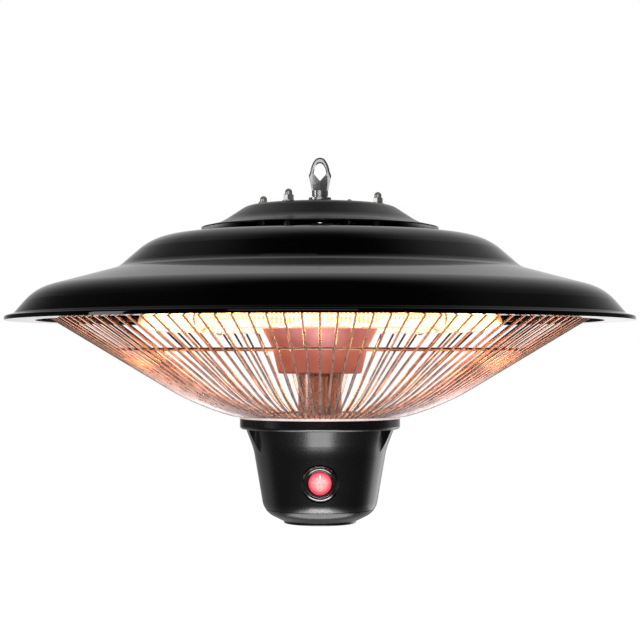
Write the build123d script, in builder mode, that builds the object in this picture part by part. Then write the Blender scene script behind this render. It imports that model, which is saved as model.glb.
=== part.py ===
from build123d import *
import os
from math import atan2, cos, pi, radians, sin, sqrt, tan

os.makedirs("parts", exist_ok=True)

# A hanging infrared heater: a wide spun shade with a raised cover on it, a ring-shaped quartz
# heater behind a wire guard, and a housing with the switch at the foot of a centre column.
# It hangs from its eye, so Z = 0 is the centre of the eye's hole and heights go down from there.
# The switch faces -Y. All sizes are millimetres.

# Fits and clearances
SLIP = 0.05        # radial clearance of a shaft or stem in its bore
SCREW_GAP = 0.25   # radial clearance of a screw or stud in a plain hole
SKIN_GAP = 0.1     # between two curved skins that lie on each other
THREAD_PAST_NUT = 1.2

# Hanging eye
EYE_HOLE_WIDTH = 8.7
EYE_HOLE_HEIGHT = 12.3
EYE_HOLE_ARCH = 7.2      # height of the hole's arch, which stands on a V
EYE_HOLE_CREST = 2.6     # radius of the arch at its top
EYE_HOLE_LAND = 1.6      # straight middle of the hole, from front to back
EYE_HOLE_FLARE = 2.3     # that the hole opens by from its land to the front of the collar
EYE_HOLE_FLARE_TIP = 3.5 # the same at the tip of the V
EYE_HOLE_EASE = 0.7
EYE_CROWN = 3.9          # metal above the hole
EYE_SIDE = 2.25          # metal beside the hole
EYE_CROWN_ARCH = 9.45    # height of the loop's arch, down to where it turns out to the shoulders
EYE_CROWN_CREST = 4.6    # radius of the loop at its top
EYE_CREST_END = 35       # degrees above level where each crest runs into its sides
EYE_LOOP_DEPTH = 4.4     # loop thickness from front to back
EYE_EARS = 15.5          # greatest width, at the shoulders of the loop
EYE_EARS_DROP = 2.4      # shoulders below the centre of the hole
EYE_LOOP_EASE = 1.5
EYE_RIDGE_PROUD = 0.4    # of the faceted neck in front of the loop
EYE_FACET_INSET = 0.3    # of the facets inside the shoulders
EYE_FACET_X = 5.2
EYE_FACET_Y = 2.1
EYE_COLLAR_DIAMETER = 11.1
EYE_COLLAR_HEIGHT = 3.6
EYE_COLLAR_DROP = 12.9   # top of the collar below the centre of the hole
EYE_NECK_DIAMETER = 10.0
EYE_NECK_HEIGHT = 1.1
EYE_SHANK_DIAMETER = 6.0
WASHER_DIAMETER = 15.5
WASHER_THICKNESS = 1.6
SEAL_DIAMETER = 15.0
SEAL_HEIGHT = 4.2
EYE_NUT_FLATS = 10.0
EYE_NUT_HEIGHT = 5.0

# Raised cover
COVER_SHEET = 0.8
COVER_RADIUS = 81.2
COVER_CORNER = 50.0      # radius where the flat top and the sloping side would meet
COVER_HEIGHT = 15.2      # from the flat top to the brim
COVER_SLOPE = 33.5       # degrees below level
BRIM_SLOPE = 13.0        # degrees below level
COVER_TOP_EASE = 14.0    # bend radius at the flat top
COVER_BRIM_EASE = 30.0   # bend radius where the brim flares
HANGER_RADIUS = 45.4
HANGER_PLATE = 2.0

# Studs that tie cover, shade and reflector together
STUD_DIAMETER = 4.0
STUD_SPAN_LONG = 64.0
STUD_SPAN_SHORT = 53.0
STUD_TURN = 20.3         # turn of the stud rectangle about the vertical, in degrees
SPACER_DIAMETER = 7.0
COVER_SPACER = 18.1
ACORN_FLATS = 6.4
ACORN_HEX_HEIGHT = 3.8
ACORN_DOME_DIAMETER = 4.9
ACORN_DOME_HEIGHT = 4.0  # above the hexagon
ACORN_WASHER_DIAMETER = 8.2
ACORN_WASHER = 0.7
ACORN_CHAMFER = 0.3
STUD_NUT_FLATS = 7.0
STUD_NUT_HEIGHT = 3.2

# Cable inlet on the back of the cover
CABLE_DIAMETER = 6.2
GROMMET_NECK = 9.0
GROMMET_FLANGE = 13.0
GROMMET_LIP = 1.6
GROMMET_RADIUS = 59.0    # distance of the inlet from the axis

# Terminal block under the cover
TERMINAL_LENGTH = 28.0
TERMINAL_WIDTH = 14.0
TERMINAL_HEIGHT = 11.0
TERMINAL_OFFSET = 27.0
TERMINAL_POLES = 3
TERMINAL_PITCH = 8.5
TERMINAL_SCREW = 3.4
TERMINAL_SCREW_HEIGHT = 2.2
TERMINAL_SCREW_WELL = 2.8
TERMINAL_CHAMFER = 1.0

# Shade: corners of its outer skin as radius and drop below its flat crown
SHADE_SHEET = 1.0
CROWN_RADIUS = 112.5
WAIST_RADIUS = 137.6
WAIST_DROP = 22.2
SHOULDER_INSET = 20.1    # of the shoulder inside the rim
SHOULDER_DROP = 37.1
RIM_FLARE = 6.1          # of the rim past the foot of the wall
WALL_DROP = 53.5
RIM_RADIUS = 212.5
LIP_DROP = 55.3
RIM_DROP = 57.9
CROWN_EASE = 40.0
WAIST_EASE = 16.0
SHOULDER_EASE = 51.0
WALL_EASE = 1.0
RIM_EASE = 1.5
WIRE_HOLE = 11.0         # radius of the hole that the wires pass in crown and support plate
CLAMP_RING_LEDGE = 3.0   # of the clamp ring inside the middle of the guard's top ring
CLAMP_RING_SHEET = 1.6
CLAMP_SCREWS = 6
CLAMP_SCREW_DIAMETER = 3.0
CLAMP_SCREW_HEAD = 5.4
CLAMP_SCREW_LENGTH = 5.0
CLAMP_SCREW_INSET = 4.4  # inside the foot of the shade's wall
CLAMP_SCREW_START = 30.0
BRACKET_SHEET = 1.4
BRACKET_FOOT = 5.0       # of the bracket's foot inside the clamp screws
BRACKET_LEG = 10.0
BRACKET_BEND = 1.7
BRACKET_ARC = 3.0        # degrees of the circle that a bracket spans

# Support plate and centre column
SUPPORT_PLATE = 2.0
SUPPORT_RADIUS = 52.0
COLUMN_DIAMETER = 30.0
COLUMN_WALL = 1.2
COLUMN_WINDOW = 8.0      # radius of the side hole for the heater's wires
COLUMN_WINDOW_DROP = 17.0
HUB_DROP = 121.2         # from under the support plate to the top of the hub plate

# Reflector and its cup
REFLECTOR_SPACER = 31.3
REFLECTOR_SHEET = 0.8
REFLECTOR_MARGIN = 21.0  # of its flat outside the middle of the quartz tube
REFLECTOR_SKIRT = 21.0
REFLECTOR_DEPTH = 10.0
REFLECTOR_EASE = 14.0
CUP_SHEET = 0.8
CUP_FLANGE_RADIUS = 61.5
CUP_THROAT_RADIUS = 53.8
CUP_BAND_RADIUS = 33.9
CUP_BAND_DROP = 38.6     # below the underside of the reflector
CUP_STEP_RADIUS = 32.6
CUP_STEP_DROP = 41.4
CUP_FLOOR_RADIUS = 28.4
CUP_FLOOR_DROP = 58.5
CUP_EASE = 1.4
CUP_RIVETS = 6
RIVET_DIAMETER = 3.0
RIVET_HEAD = 5.6
RIVET_HEAD_HEIGHT = 0.9
RIVET_RADIUS = 57.8
RIVET_START = 15.0

# Quartz heater
TUBE_RING_RADIUS = 118.0
TUBE_DIAMETER = 12.0
TUBE_WALL = 1.2
TUBE_DROP = 23.7         # tube centre below the underside of the reflector
TUBE_GAP = 15.0          # degrees of the ring that are open at the back
COIL_DIAMETER = 7.4
COIL_WIRE = 0.8
COIL_CURLS = 96
COIL_REST = 0.3          # between the coil and the bottom of the tube
COIL_ENDS = 5.0          # degrees that the coil stays back from each end of the tube
CAP_WIDTH = 17.0
CAP_LENGTH = 13.0
CAP_SOCKET = 7.5         # depth of the socket for the tube's end
CAP_SOCKET_GAP = 0.5
CAP_EDGE_RADIUS = 2.0
CAP_LEAD_WELL = 4.2
STRAP_SHEET = 1.2
STRAP_WIDTH = 12.0
STRAP_MARGIN = 9.0
STRAP_FOOT = 11.0
STRAP_BEND = 0.5
CLIP_WIRE = 1.2
CLIP_GAP = 0.3
CLIP_FOOT = 7.0
CLIP_ANGLES = (51.0, 129.0, 231.0, 309.0)
CUTOUT_DIAMETER = 16.0
CUTOUT_HEIGHT = 6.0
CUTOUT_BASE_LENGTH = 30.0
CUTOUT_BASE_WIDTH = 10.0
CUTOUT_BASE_SHEET = 1.0
CUTOUT_CHAMFER = 0.8
CUTOUT_X = -42.0
CUTOUT_Y = 78.0

# Wire guard
SPOKES = 108
SPOKE_START = -90.0      # one spoke faces the front
SPOKE_WIRE = 1.5
SPOKE_OVERHANG = 1.3     # of a spoke past the middle of the top ring
SPOKE_BEND_INSET = 4.4   # inside the edge of the clamp ring
SPOKE_KNEE_RADIUS = 84.3
SPOKE_KNEE_RISE = 7.2    # knee of the spokes above their level foot
SPOKE_FOOT_RADIUS = 59.3
SPOKE_END_RADIUS = 50.5
SPOKE_TOP_EASE = 4.0
SPOKE_KNEE_EASE = 180.0
SPOKE_FOOT_EASE = 12.0
TOP_RING_GAP = 0.5       # between the top ring and the feet of the brackets
TOP_RING_WIRE = 3.0
MID_RING_RADIUS = 144.5
MID_RING_WIRE = 1.5
HUB_RING_OUTER = 54.9
HUB_RING_INNER = 47.0
HUB_RING_SHEET = 1.5

# Hub between guard and housing
HUB_PLATE = 1.5
HUB_PLATE_RADIUS = 52.2
FLANGE_RADIUS = 54.7
FLANGE_HEIGHT = 7.1
FLANGE_WALL = 4.7
FLANGE_FLOOR = 2.2
FLANGE_EASE = 2.0
COLUMN_NUT_RADIUS = 21.0
COLUMN_NUT_HEIGHT = 4.0
COLUMN_NUT_NOTCH = 4.0
COLUMN_NUT_NOTCHES = 4
HOUSING_SCREWS = 4
HOUSING_SCREW_DIAMETER = 4.0
HOUSING_SCREW_HEAD = 7.0
HOUSING_SCREW_HEAD_HEIGHT = 2.4
HOUSING_SCREW_RADIUS = 34.0
HOUSING_SCREW_BOSS = 5.0
HOUSING_SCREW_START = 45.0
HOUSING_SCREW_EASE = 1.0

# Lower housing: corners of its outer skin as radius and drop below its top
HOUSING_WALL = 2.2
HOUSING_TOP_RADIUS = 50.6
NECK_RADIUS = 45.4
NECK_DROP = 13.5
TOE_RADIUS = 38.1
TOE_DROP = 56.0
BASE_RADIUS = 25.4
BASE_DROP = 62.3
NECK_EASE = 40.0
TOE_EASE = 24.0
BASE_EASE = 3.0
SEAM_DROP = 54.7
SEAM_GAP = 0.4
CAP_POST_RISE = 3.0      # of the bottom cap's screw posts above the seam
SCOOP_RADIUS = 10.0
SCOOP_CENTRE = 55.3
SCOOP_ANGLE = 62.5       # degrees from the front and from the back
SCOOP_WALL = 1.8
SCOOP_DROP = 17.0
CAP_SCREWS = 3
CAP_SCREW_DIAMETER = 3.0
CAP_SCREW_HEAD = 5.6
CAP_SCREW_HEAD_HEIGHT = 2.0
CAP_SCREW_LENGTH = 12.0
CAP_BOSS_RADIUS = 3.6
CAP_BOSS_DISTANCE = 21.0
CAP_BOSS_RIB = 2.0
CAP_SCREW_START = 90.0
DISC_RADIUS = 24.6
DISC_HEIGHT = 1.7
DISC_SOCKET_RADIUS = 16.0
DISC_COLLAR_SHEET = 1.4
DISC_COLLAR_RISE = 4.0
DISC_EASE = 0.7

# Rocker switch
SWITCH_DROP = 34.6       # below the top of the housing
POCKET_RADIUS = 12.9
POCKET_DEPTH = 2.4
BEZEL_RADIUS = 12.0
BEZEL_HEIGHT = 2.0
BEZEL_EASE = 0.7
BARREL_RADIUS = 10.0
BARREL_LENGTH = 16.0
BARREL_BACK = 1.6
WELL_RADIUS = 8.5        # of the round well that the rocker tilts in
TRIM_RADIUS = 9.6
TRIM_SEAT = 0.6          # depth of the trim ring's seat in the bezel
TRIM_PROUD = 0.4         # of the trim ring above the bezel
TRIM_EASE = 0.3
ROCKER_RADIUS = 7.6
ROCKER_SWEEP = 8.15      # radius about the pivot that the rocker stays within
ROCKER_TILT = 11.0       # degrees to each side of the middle
ROCKER_VALLEY = 1.9      # lowest line of the rocker's face above its pivot
ROCKER_UNDER = 2.6       # underside of the rocker below its pivot
ROCKER_SINK = 0.2        # pressed half of the face below the trim ring
PIN_DIAMETER = 1.5
PIN_END_GAP = 0.1
LAMP_RADIUS = 2.2
LAMP_LENGTH = 6.5
LAMP_EASE = 2.0
BLADE_WIDTH = 4.8
BLADE_SHEET = 0.8
BLADE_LENGTH = 8.0
BLADE_SPAN_X = 9.0
BLADE_SPAN_Y = 8.0

# Inner wires
LEAD_DIAMETER = 2.6
LEAD_END_GAP = 0.3
LEAD_HOLE = 4.6          # in the reflector, over each end cap
LEAD_IN_TERMINAL = 3.0
LEAD_TAIL = 4.0          # straight run in front of the terminal block
SUPPLY_LEAD_Y = -3.0
HEATER_LEAD_Y = 6.0
LEAD_EASE = 9.0


# Heights, worked down from the eye
eye_collar_top = -EYE_COLLAR_DROP
eye_neck_top = eye_collar_top - EYE_COLLAR_HEIGHT
washer_top = eye_neck_top - EYE_NECK_HEIGHT
seal_top = washer_top - WASHER_THICKNESS
cover_top = seal_top - SEAL_HEIGHT
cover_under = cover_top - COVER_SHEET
hanger_under = cover_under - HANGER_PLATE
shade_top = hanger_under - COVER_SPACER
shade_under = shade_top - SHADE_SHEET
support_under = shade_under - SUPPORT_PLATE
reflector_top = support_under - REFLECTOR_SPACER
reflector_under = reflector_top - REFLECTOR_SHEET
tube_height = reflector_under - TUBE_DROP
rim_bottom = shade_top - RIM_DROP
clamp_top = rim_bottom + CLAMP_RING_SHEET
hub_top = support_under - HUB_DROP
hub_under = hub_top - HUB_PLATE
housing_top = hub_top - FLANGE_HEIGHT
column_end = housing_top - COLUMN_NUT_HEIGHT
seam = housing_top - SEAM_DROP
base = housing_top - BASE_DROP

plate_under = housing_top - HOUSING_WALL

column_radius = COLUMN_DIAMETER / 2
stud_hole = STUD_DIAMETER / 2 + SCREW_GAP


def eased(corners, radii):
    """Bend radii for a run of corners, each kept within what its two legs leave room for."""
    share_of_leg = 0.49 if len(radii) > 1 else 0.95
    kept = []
    for before, corner, after, radius in zip(corners, corners[1:], corners[2:], radii):
        leg_in = Vector(*corner) - Vector(*before)
        leg_out = Vector(*after) - Vector(*corner)
        half_turn = radians(leg_in.get_angle(leg_out)) / 2
        room = share_of_leg * min(leg_in.length, leg_out.length) / tan(half_turn)
        kept.append(min(radius, room))
    return kept


def sheet_section(corners, radii, thickness, side=Side.RIGHT):
    """Section, in radius and height, of a thin sheet whose outer skin runs through the corners."""
    with BuildSketch(Plane.XZ) as section:
        with BuildLine():
            FilletPolyline(*corners, radius=eased(corners, radii))
            offset(amount=thickness, side=side)
        make_face()
    return section.sketch


def ring_section(inner, outer, low, high):
    """Rectangular section of a flat ring, in radius and height."""
    with BuildSketch(Plane.XZ) as section:
        with Locations(((inner + outer) / 2, (low + high) / 2)):
            Rectangle(outer - inner, high - low)
    return section.sketch


def stud_discs(height, radius):
    """Four circles on the stud centres."""
    with BuildSketch(Plane.XY.offset(height).rotated((0, 0, STUD_TURN))) as discs:
        with GridLocations(STUD_SPAN_LONG, STUD_SPAN_SHORT, 2, 2):
            Circle(radius)
    return discs.sketch


def stud_hexagons(height, flats):
    """Four hexagons, given across their flats, on the stud centres."""
    with BuildSketch(Plane.XY.offset(height).rotated((0, 0, STUD_TURN))) as hexagons:
        with GridLocations(STUD_SPAN_LONG, STUD_SPAN_SHORT, 2, 2):
            RegularPolygon(flats / 2, 6, major_radius=False)
    return hexagons.sketch


def round_wire(path, diameter):
    """Round wire along a path."""
    with BuildPart() as wire:
        with BuildSketch(Plane(path @ 0, z_dir=path % 0)):
            Circle(diameter / 2)
        sweep(path=path)
    return wire.part


def stud_tubes(low, high):
    """Four plain spacer tubes round the studs."""
    with BuildPart() as tubes:
        extrude(stud_discs(low, SPACER_DIAMETER / 2), amount=high - low)
        extrude(stud_discs(low, stud_hole), amount=high - low, mode=Mode.SUBTRACT)
    return tubes.part


# Hanging eye: one forging with an oval loop, a faceted neck, a collar and a threaded shank
hole_top = EYE_HOLE_HEIGHT / 2
crown_top = hole_top + EYE_CROWN
shank_end = hanger_under - EYE_NUT_HEIGHT - THREAD_PAST_NUT
neck = EYE_COLLAR_DIAMETER / 2


def arch(top, height, crest_radius, half_width):
    """Arch in the open BuildLine: a round crest and two wider arcs that run on from it."""
    crest = CenterArc((0, top - crest_radius), crest_radius, EYE_CREST_END, 180 - 2 * EYE_CREST_END)
    left = TangentArc(crest @ 1, (-half_width, top - height), tangent=crest % 1)
    right = TangentArc(crest @ 0, (half_width, top - height), tangent=-(crest % 0))
    return left @ 1, right @ 1


def hole_outline(depth, flare, tip_flare):
    """Arch of the eye's hole with the V below, at a depth in front of the eye's middle."""
    with BuildSketch(Plane.XZ.offset(depth)) as outline:
        with BuildLine():
            left, right = arch(
                hole_top + flare, EYE_HOLE_ARCH + flare, EYE_HOLE_CREST + flare, EYE_HOLE_WIDTH / 2 + flare
            )
            Polyline(left, (0, -hole_top - tip_flare), right)
        make_face()
        fillet(vertices().sort_by(Axis.Y)[:3], EYE_HOLE_EASE)
    return outline.sketch


with BuildPart() as eye_hole:
    land_front = hole_outline(EYE_HOLE_LAND / 2, 0, 0)
    extrude(land_front, amount=-EYE_HOLE_LAND)
    collar_front = hole_outline(neck, EYE_HOLE_FLARE, EYE_HOLE_FLARE_TIP)
    loft([land_front.face(), collar_front.face()], ruled=True)
    mirror(about=Plane.XZ)
with BuildPart() as hanging_eye:
    with BuildSketch(Plane.XZ.offset(-EYE_LOOP_DEPTH / 2)):
        with BuildLine():
            left, right = arch(crown_top, EYE_CROWN_ARCH, EYE_CROWN_CREST, EYE_HOLE_WIDTH / 2 + EYE_SIDE)
            Polyline(
                left,
                (-EYE_EARS / 2, -EYE_EARS_DROP),
                (-EYE_COLLAR_DIAMETER / 2, eye_collar_top),
                (EYE_COLLAR_DIAMETER / 2, eye_collar_top),
                (EYE_EARS / 2, -EYE_EARS_DROP),
                right,
            )
        make_face()
    extrude(amount=EYE_LOOP_DEPTH)
    loop_edges = edges().filter_by(Axis.Y, reverse=True).filter_by_position(Axis.Z, -EYE_EARS_DROP, crown_top)
    fillet(loop_edges, EYE_LOOP_EASE)
    with BuildSketch(Plane.XY.offset(eye_collar_top)):
        RegularPolygon(neck, 8)
    with BuildSketch(Plane.XY.offset(-EYE_EARS_DROP)):
        ear = EYE_EARS / 2 - EYE_FACET_INSET
        ridge = EYE_LOOP_DEPTH / 2 + EYE_RIDGE_PROUD
        Polygon(
            (ear, 0), (EYE_FACET_X, EYE_FACET_Y), (0, ridge), (-EYE_FACET_X, EYE_FACET_Y),
            (-ear, 0), (-EYE_FACET_X, -EYE_FACET_Y), (0, -ridge), (EYE_FACET_X, -EYE_FACET_Y),
            align=None,
        )
    loft(ruled=True)
    add(eye_hole.part, mode=Mode.SUBTRACT)
    with BuildSketch(Plane.XZ):
        Polygon(
            (0, eye_collar_top), (neck, eye_collar_top), (neck, eye_neck_top),
            (EYE_NECK_DIAMETER / 2, eye_neck_top), (EYE_NECK_DIAMETER / 2, washer_top),
            (EYE_SHANK_DIAMETER / 2, washer_top), (EYE_SHANK_DIAMETER / 2, shank_end),
            (0, shank_end),
            align=None,
        )
    revolve(axis=Axis.Z)
hanging_eye.part.label = "hanging_eye"

# Steel washer and rubber seal that keep rain out of the cover
shank_hole = EYE_SHANK_DIAMETER / 2 + SCREW_GAP
with BuildPart() as eye_washer:
    revolve(ring_section(shank_hole, WASHER_DIAMETER / 2, seal_top, washer_top))
eye_washer.part.label = "eye_washer"

with BuildPart() as eye_seal:
    revolve(ring_section(EYE_SHANK_DIAMETER / 2 + SLIP, SEAL_DIAMETER / 2, cover_top, seal_top))
eye_seal.part.label = "eye_seal"

# Hexagon nut that pulls the eye down on the hanger plate
with BuildPart() as eye_nut:
    with BuildSketch(Plane.XY.offset(hanger_under)):
        RegularPolygon(EYE_NUT_FLATS / 2, 6, major_radius=False)
        Circle(EYE_SHANK_DIAMETER / 2 + SLIP, mode=Mode.SUBTRACT)
    extrude(amount=-EYE_NUT_HEIGHT)
eye_nut.part.label = "eye_nut"

with BuildPart() as hanger_plate:
    revolve(ring_section(shank_hole, HANGER_RADIUS, hanger_under, cover_under))
    extrude(stud_discs(cover_under, stud_hole), amount=-HANGER_PLATE, mode=Mode.SUBTRACT)
hanger_plate.part.label = "hanger_plate"

# Raised cover: flat top, sloping side and flared brim, pressed from one sheet
cover_slope = tan(radians(COVER_SLOPE))
brim_slope = tan(radians(BRIM_SLOPE))
brim_bend = COVER_CORNER * cover_slope + COVER_HEIGHT - COVER_RADIUS * brim_slope
brim_bend = brim_bend / (cover_slope - brim_slope)
cover_corners = [
    (shank_hole, cover_top),
    (COVER_CORNER, cover_top),
    (brim_bend, cover_top - (brim_bend - COVER_CORNER) * cover_slope),
    (COVER_RADIUS, cover_top - COVER_HEIGHT),
]
grommet_drop = (GROMMET_RADIUS - COVER_CORNER) * cover_slope
grommet_seat = Plane(
    origin=(0, GROMMET_RADIUS, cover_top - grommet_drop),
    x_dir=(1, 0, 0),
    z_dir=(0, sin(radians(COVER_SLOPE)), cos(radians(COVER_SLOPE))),
)
grommet_under = -COVER_SHEET - 2 * SKIN_GAP
with BuildPart() as top_cover:
    revolve(sheet_section(cover_corners, [COVER_TOP_EASE, COVER_BRIM_EASE], COVER_SHEET))
    extrude(stud_discs(cover_top, stud_hole), amount=-COVER_SHEET, mode=Mode.SUBTRACT)
    with BuildSketch(grommet_seat.offset(SKIN_GAP)):
        Circle(GROMMET_NECK / 2 + SKIN_GAP)
    extrude(amount=grommet_under - SKIN_GAP, mode=Mode.SUBTRACT)
top_cover.part.label = "top_cover"

# Rubber grommet in the back of the cover, where the supply cable comes in
with BuildPart() as cable_grommet:
    with BuildSketch(grommet_seat.offset(SKIN_GAP), grommet_seat.offset(grommet_under - GROMMET_LIP)):
        Circle(GROMMET_FLANGE / 2)
    extrude(amount=GROMMET_LIP)
    with BuildSketch(grommet_seat.offset(SKIN_GAP)):
        Circle(GROMMET_NECK / 2)
    extrude(amount=grommet_under - SKIN_GAP)
    with BuildSketch(grommet_seat.offset(SKIN_GAP + GROMMET_LIP)):
        Circle(CABLE_DIAMETER / 2)
    extrude(amount=grommet_under - SKIN_GAP - 2 * GROMMET_LIP, mode=Mode.SUBTRACT)
cable_grommet.part.label = "cable_grommet"

# Four studs with acorn nuts on the cover and hexagon nuts under the reflector
acorn_seat = cover_top + ACORN_WASHER
stud_top = acorn_seat + ACORN_HEX_HEIGHT
stud_end = reflector_under - STUD_NUT_HEIGHT - THREAD_PAST_NUT
with BuildPart() as tie_studs:
    extrude(stud_discs(stud_end, STUD_DIAMETER / 2), amount=stud_top - stud_end)
tie_studs.part.label = "tie_studs"

with BuildPart() as acorn_washers:
    extrude(stud_discs(cover_top, ACORN_WASHER_DIAMETER / 2), amount=ACORN_WASHER)
    extrude(stud_discs(cover_top, stud_hole), amount=ACORN_WASHER, mode=Mode.SUBTRACT)
acorn_washers.part.label = "acorn_washers"

with BuildPart() as acorn_nut:
    with BuildSketch():
        RegularPolygon(ACORN_FLATS / 2, 6, major_radius=False)
    extrude(amount=ACORN_HEX_HEIGHT)
    chamfer(edges().group_by(Axis.Z)[-1], ACORN_CHAMFER)
    with BuildSketch(Plane.XZ):
        dome_radius = ACORN_DOME_DIAMETER / 2
        dome_middle = ACORN_HEX_HEIGHT + ACORN_DOME_HEIGHT - dome_radius
        with BuildLine():
            Polyline((0, ACORN_HEX_HEIGHT), (dome_radius, ACORN_HEX_HEIGHT), (dome_radius, dome_middle))
            CenterArc((0, dome_middle), dome_radius, 0, 90)
            Line((0, dome_middle + dome_radius), (0, ACORN_HEX_HEIGHT))
        make_face()
    revolve(axis=Axis.Z)
    with BuildSketch():
        Circle(STUD_DIAMETER / 2 + SLIP)
    extrude(amount=ACORN_HEX_HEIGHT, mode=Mode.SUBTRACT)
with BuildPart(Plane.XY.offset(acorn_seat).rotated((0, 0, STUD_TURN))) as acorn_nuts:
    with GridLocations(STUD_SPAN_LONG, STUD_SPAN_SHORT, 2, 2):
        add(acorn_nut.part)
acorn_nuts.part.label = "acorn_nuts"

cover_spacers = stud_tubes(shade_top, hanger_under)
cover_spacers.label = "cover_spacers"
reflector_spacers = stud_tubes(reflector_top, support_under)
reflector_spacers.label = "reflector_spacers"

with BuildPart() as stud_nuts:
    extrude(stud_hexagons(reflector_under, STUD_NUT_FLATS), amount=-STUD_NUT_HEIGHT)
    thread = stud_discs(reflector_under, STUD_DIAMETER / 2 + SLIP)
    extrude(thread, amount=-STUD_NUT_HEIGHT, mode=Mode.SUBTRACT)
stud_nuts.part.label = "stud_nuts"

# Terminal block on the crown of the shade, with a wire hole and a clamp screw for each pole
terminal_top = shade_top + TERMINAL_HEIGHT
with BuildPart() as terminal_block:
    with BuildSketch(Plane.XY.offset(shade_top)):
        with Locations((0, TERMINAL_OFFSET)):
            Rectangle(TERMINAL_LENGTH, TERMINAL_WIDTH)
    extrude(amount=TERMINAL_HEIGHT)
    chamfer(edges().group_by(Axis.Z)[-1], TERMINAL_CHAMFER)
    with BuildSketch(Plane.XZ.offset(-TERMINAL_OFFSET)):
        with Locations((0, shade_top + TERMINAL_HEIGHT / 2)):
            with GridLocations(TERMINAL_PITCH, 1, TERMINAL_POLES, 1):
                Circle(LEAD_DIAMETER / 2 + SKIN_GAP)
    extrude(amount=TERMINAL_WIDTH, both=True, mode=Mode.SUBTRACT)
    with BuildSketch(Plane.XY.offset(terminal_top)):
        with Locations((0, TERMINAL_OFFSET)):
            with GridLocations(TERMINAL_PITCH, 1, TERMINAL_POLES, 1):
                Circle(TERMINAL_SCREW / 2 + SLIP)
    extrude(amount=-TERMINAL_SCREW_WELL, mode=Mode.SUBTRACT)
terminal_block.part.label = "terminal_block"

with BuildPart() as terminal_screws:
    with BuildSketch(Plane.XY.offset(terminal_top - TERMINAL_SCREW_WELL)):
        with Locations((0, TERMINAL_OFFSET)):
            with GridLocations(TERMINAL_PITCH, 1, TERMINAL_POLES, 1):
                Circle(TERMINAL_SCREW / 2)
    extrude(amount=TERMINAL_SCREW_HEIGHT)
terminal_screws.part.label = "terminal_screws"

# Shade: a spun sheet with a flat crown, a concave waist, a round shoulder and a turned rim
shoulder_radius = RIM_RADIUS - SHOULDER_INSET
wall_radius = RIM_RADIUS - RIM_FLARE
shade_corners = [
    (WIRE_HOLE, shade_top),
    (CROWN_RADIUS, shade_top),
    (WAIST_RADIUS, shade_top - WAIST_DROP),
    (shoulder_radius, shade_top - SHOULDER_DROP),
    (wall_radius, shade_top - WALL_DROP),
    (RIM_RADIUS, shade_top - LIP_DROP),
    (RIM_RADIUS, rim_bottom),
]
shade_eases = [CROWN_EASE, WAIST_EASE, SHOULDER_EASE, WALL_EASE, RIM_EASE]
with BuildPart() as shade:
    revolve(sheet_section(shade_corners, shade_eases, SHADE_SHEET))
    extrude(stud_discs(shade_top, stud_hole), amount=-SHADE_SHEET, mode=Mode.SUBTRACT)
shade.part.label = "shade"

# Support plate under the crown, with the centre column welded in it
with BuildPart() as support_plate:
    revolve(ring_section(column_radius + SLIP, SUPPORT_RADIUS, support_under, shade_under))
    extrude(stud_discs(shade_under, stud_hole), amount=-SUPPORT_PLATE, mode=Mode.SUBTRACT)
support_plate.part.label = "support_plate"

with BuildPart() as centre_column:
    revolve(ring_section(column_radius - COLUMN_WALL, column_radius, column_end, shade_under))
    with BuildSketch(Plane.XZ):
        with Locations((0, support_under - COLUMN_WINDOW_DROP)):
            Circle(COLUMN_WINDOW)
    extrude(amount=-COLUMN_DIAMETER, mode=Mode.SUBTRACT)
centre_column.part.label = "centre_column"

# Where the heater's ring is open at the back: the two ceramic end caps and their wire holes
cap_turn = TUBE_GAP / 2
cap_x = TUBE_RING_RADIUS * sin(radians(cap_turn)) - CAP_SOCKET / 2
cap_y = TUBE_RING_RADIUS * cos(radians(cap_turn))
cap_top = tube_height + CAP_WIDTH / 2
strap_top = cap_top + STRAP_SHEET
strap_half = cap_x + CAP_LENGTH / 2 + STRAP_MARGIN
strap_rivet_places = [(-strap_half - STRAP_FOOT / 2, cap_y), (strap_half + STRAP_FOOT / 2, cap_y)]
rivet_hole = RIVET_DIAMETER / 2 + SLIP

# Reflector: a polished dish over the heater, with holes for column, studs, clips and wires
clip_reach = TUBE_DIAMETER / 2 + CLIP_GAP + CLIP_WIRE / 2
reflector_flat = TUBE_RING_RADIUS + REFLECTOR_MARGIN
reflector_corners = [
    (column_radius + SCREW_GAP, reflector_top),
    (reflector_flat, reflector_top),
    (reflector_flat + REFLECTOR_SKIRT, reflector_top - REFLECTOR_DEPTH),
]
with BuildPart() as reflector:
    revolve(sheet_section(reflector_corners, [REFLECTOR_EASE], REFLECTOR_SHEET))
    extrude(stud_discs(reflector_top, stud_hole), amount=-REFLECTOR_SHEET, mode=Mode.SUBTRACT)
    with BuildSketch(Plane.XY.offset(reflector_top)):
        for angle in CLIP_ANGLES:
            for reach in (TUBE_RING_RADIUS - clip_reach, TUBE_RING_RADIUS + clip_reach):
                with Locations((reach * cos(radians(angle)), reach * sin(radians(angle)))):
                    Circle(CLIP_WIRE / 2 + SCREW_GAP)
        with PolarLocations(RIVET_RADIUS, CUP_RIVETS, start_angle=RIVET_START):
            Circle(rivet_hole)
        with Locations((-cap_x, cap_y), (cap_x, cap_y)):
            Circle(LEAD_HOLE / 2)
        with Locations(*strap_rivet_places):
            Circle(rivet_hole)
    extrude(amount=-REFLECTOR_SHEET, mode=Mode.SUBTRACT)
reflector.part.label = "reflector"

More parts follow.
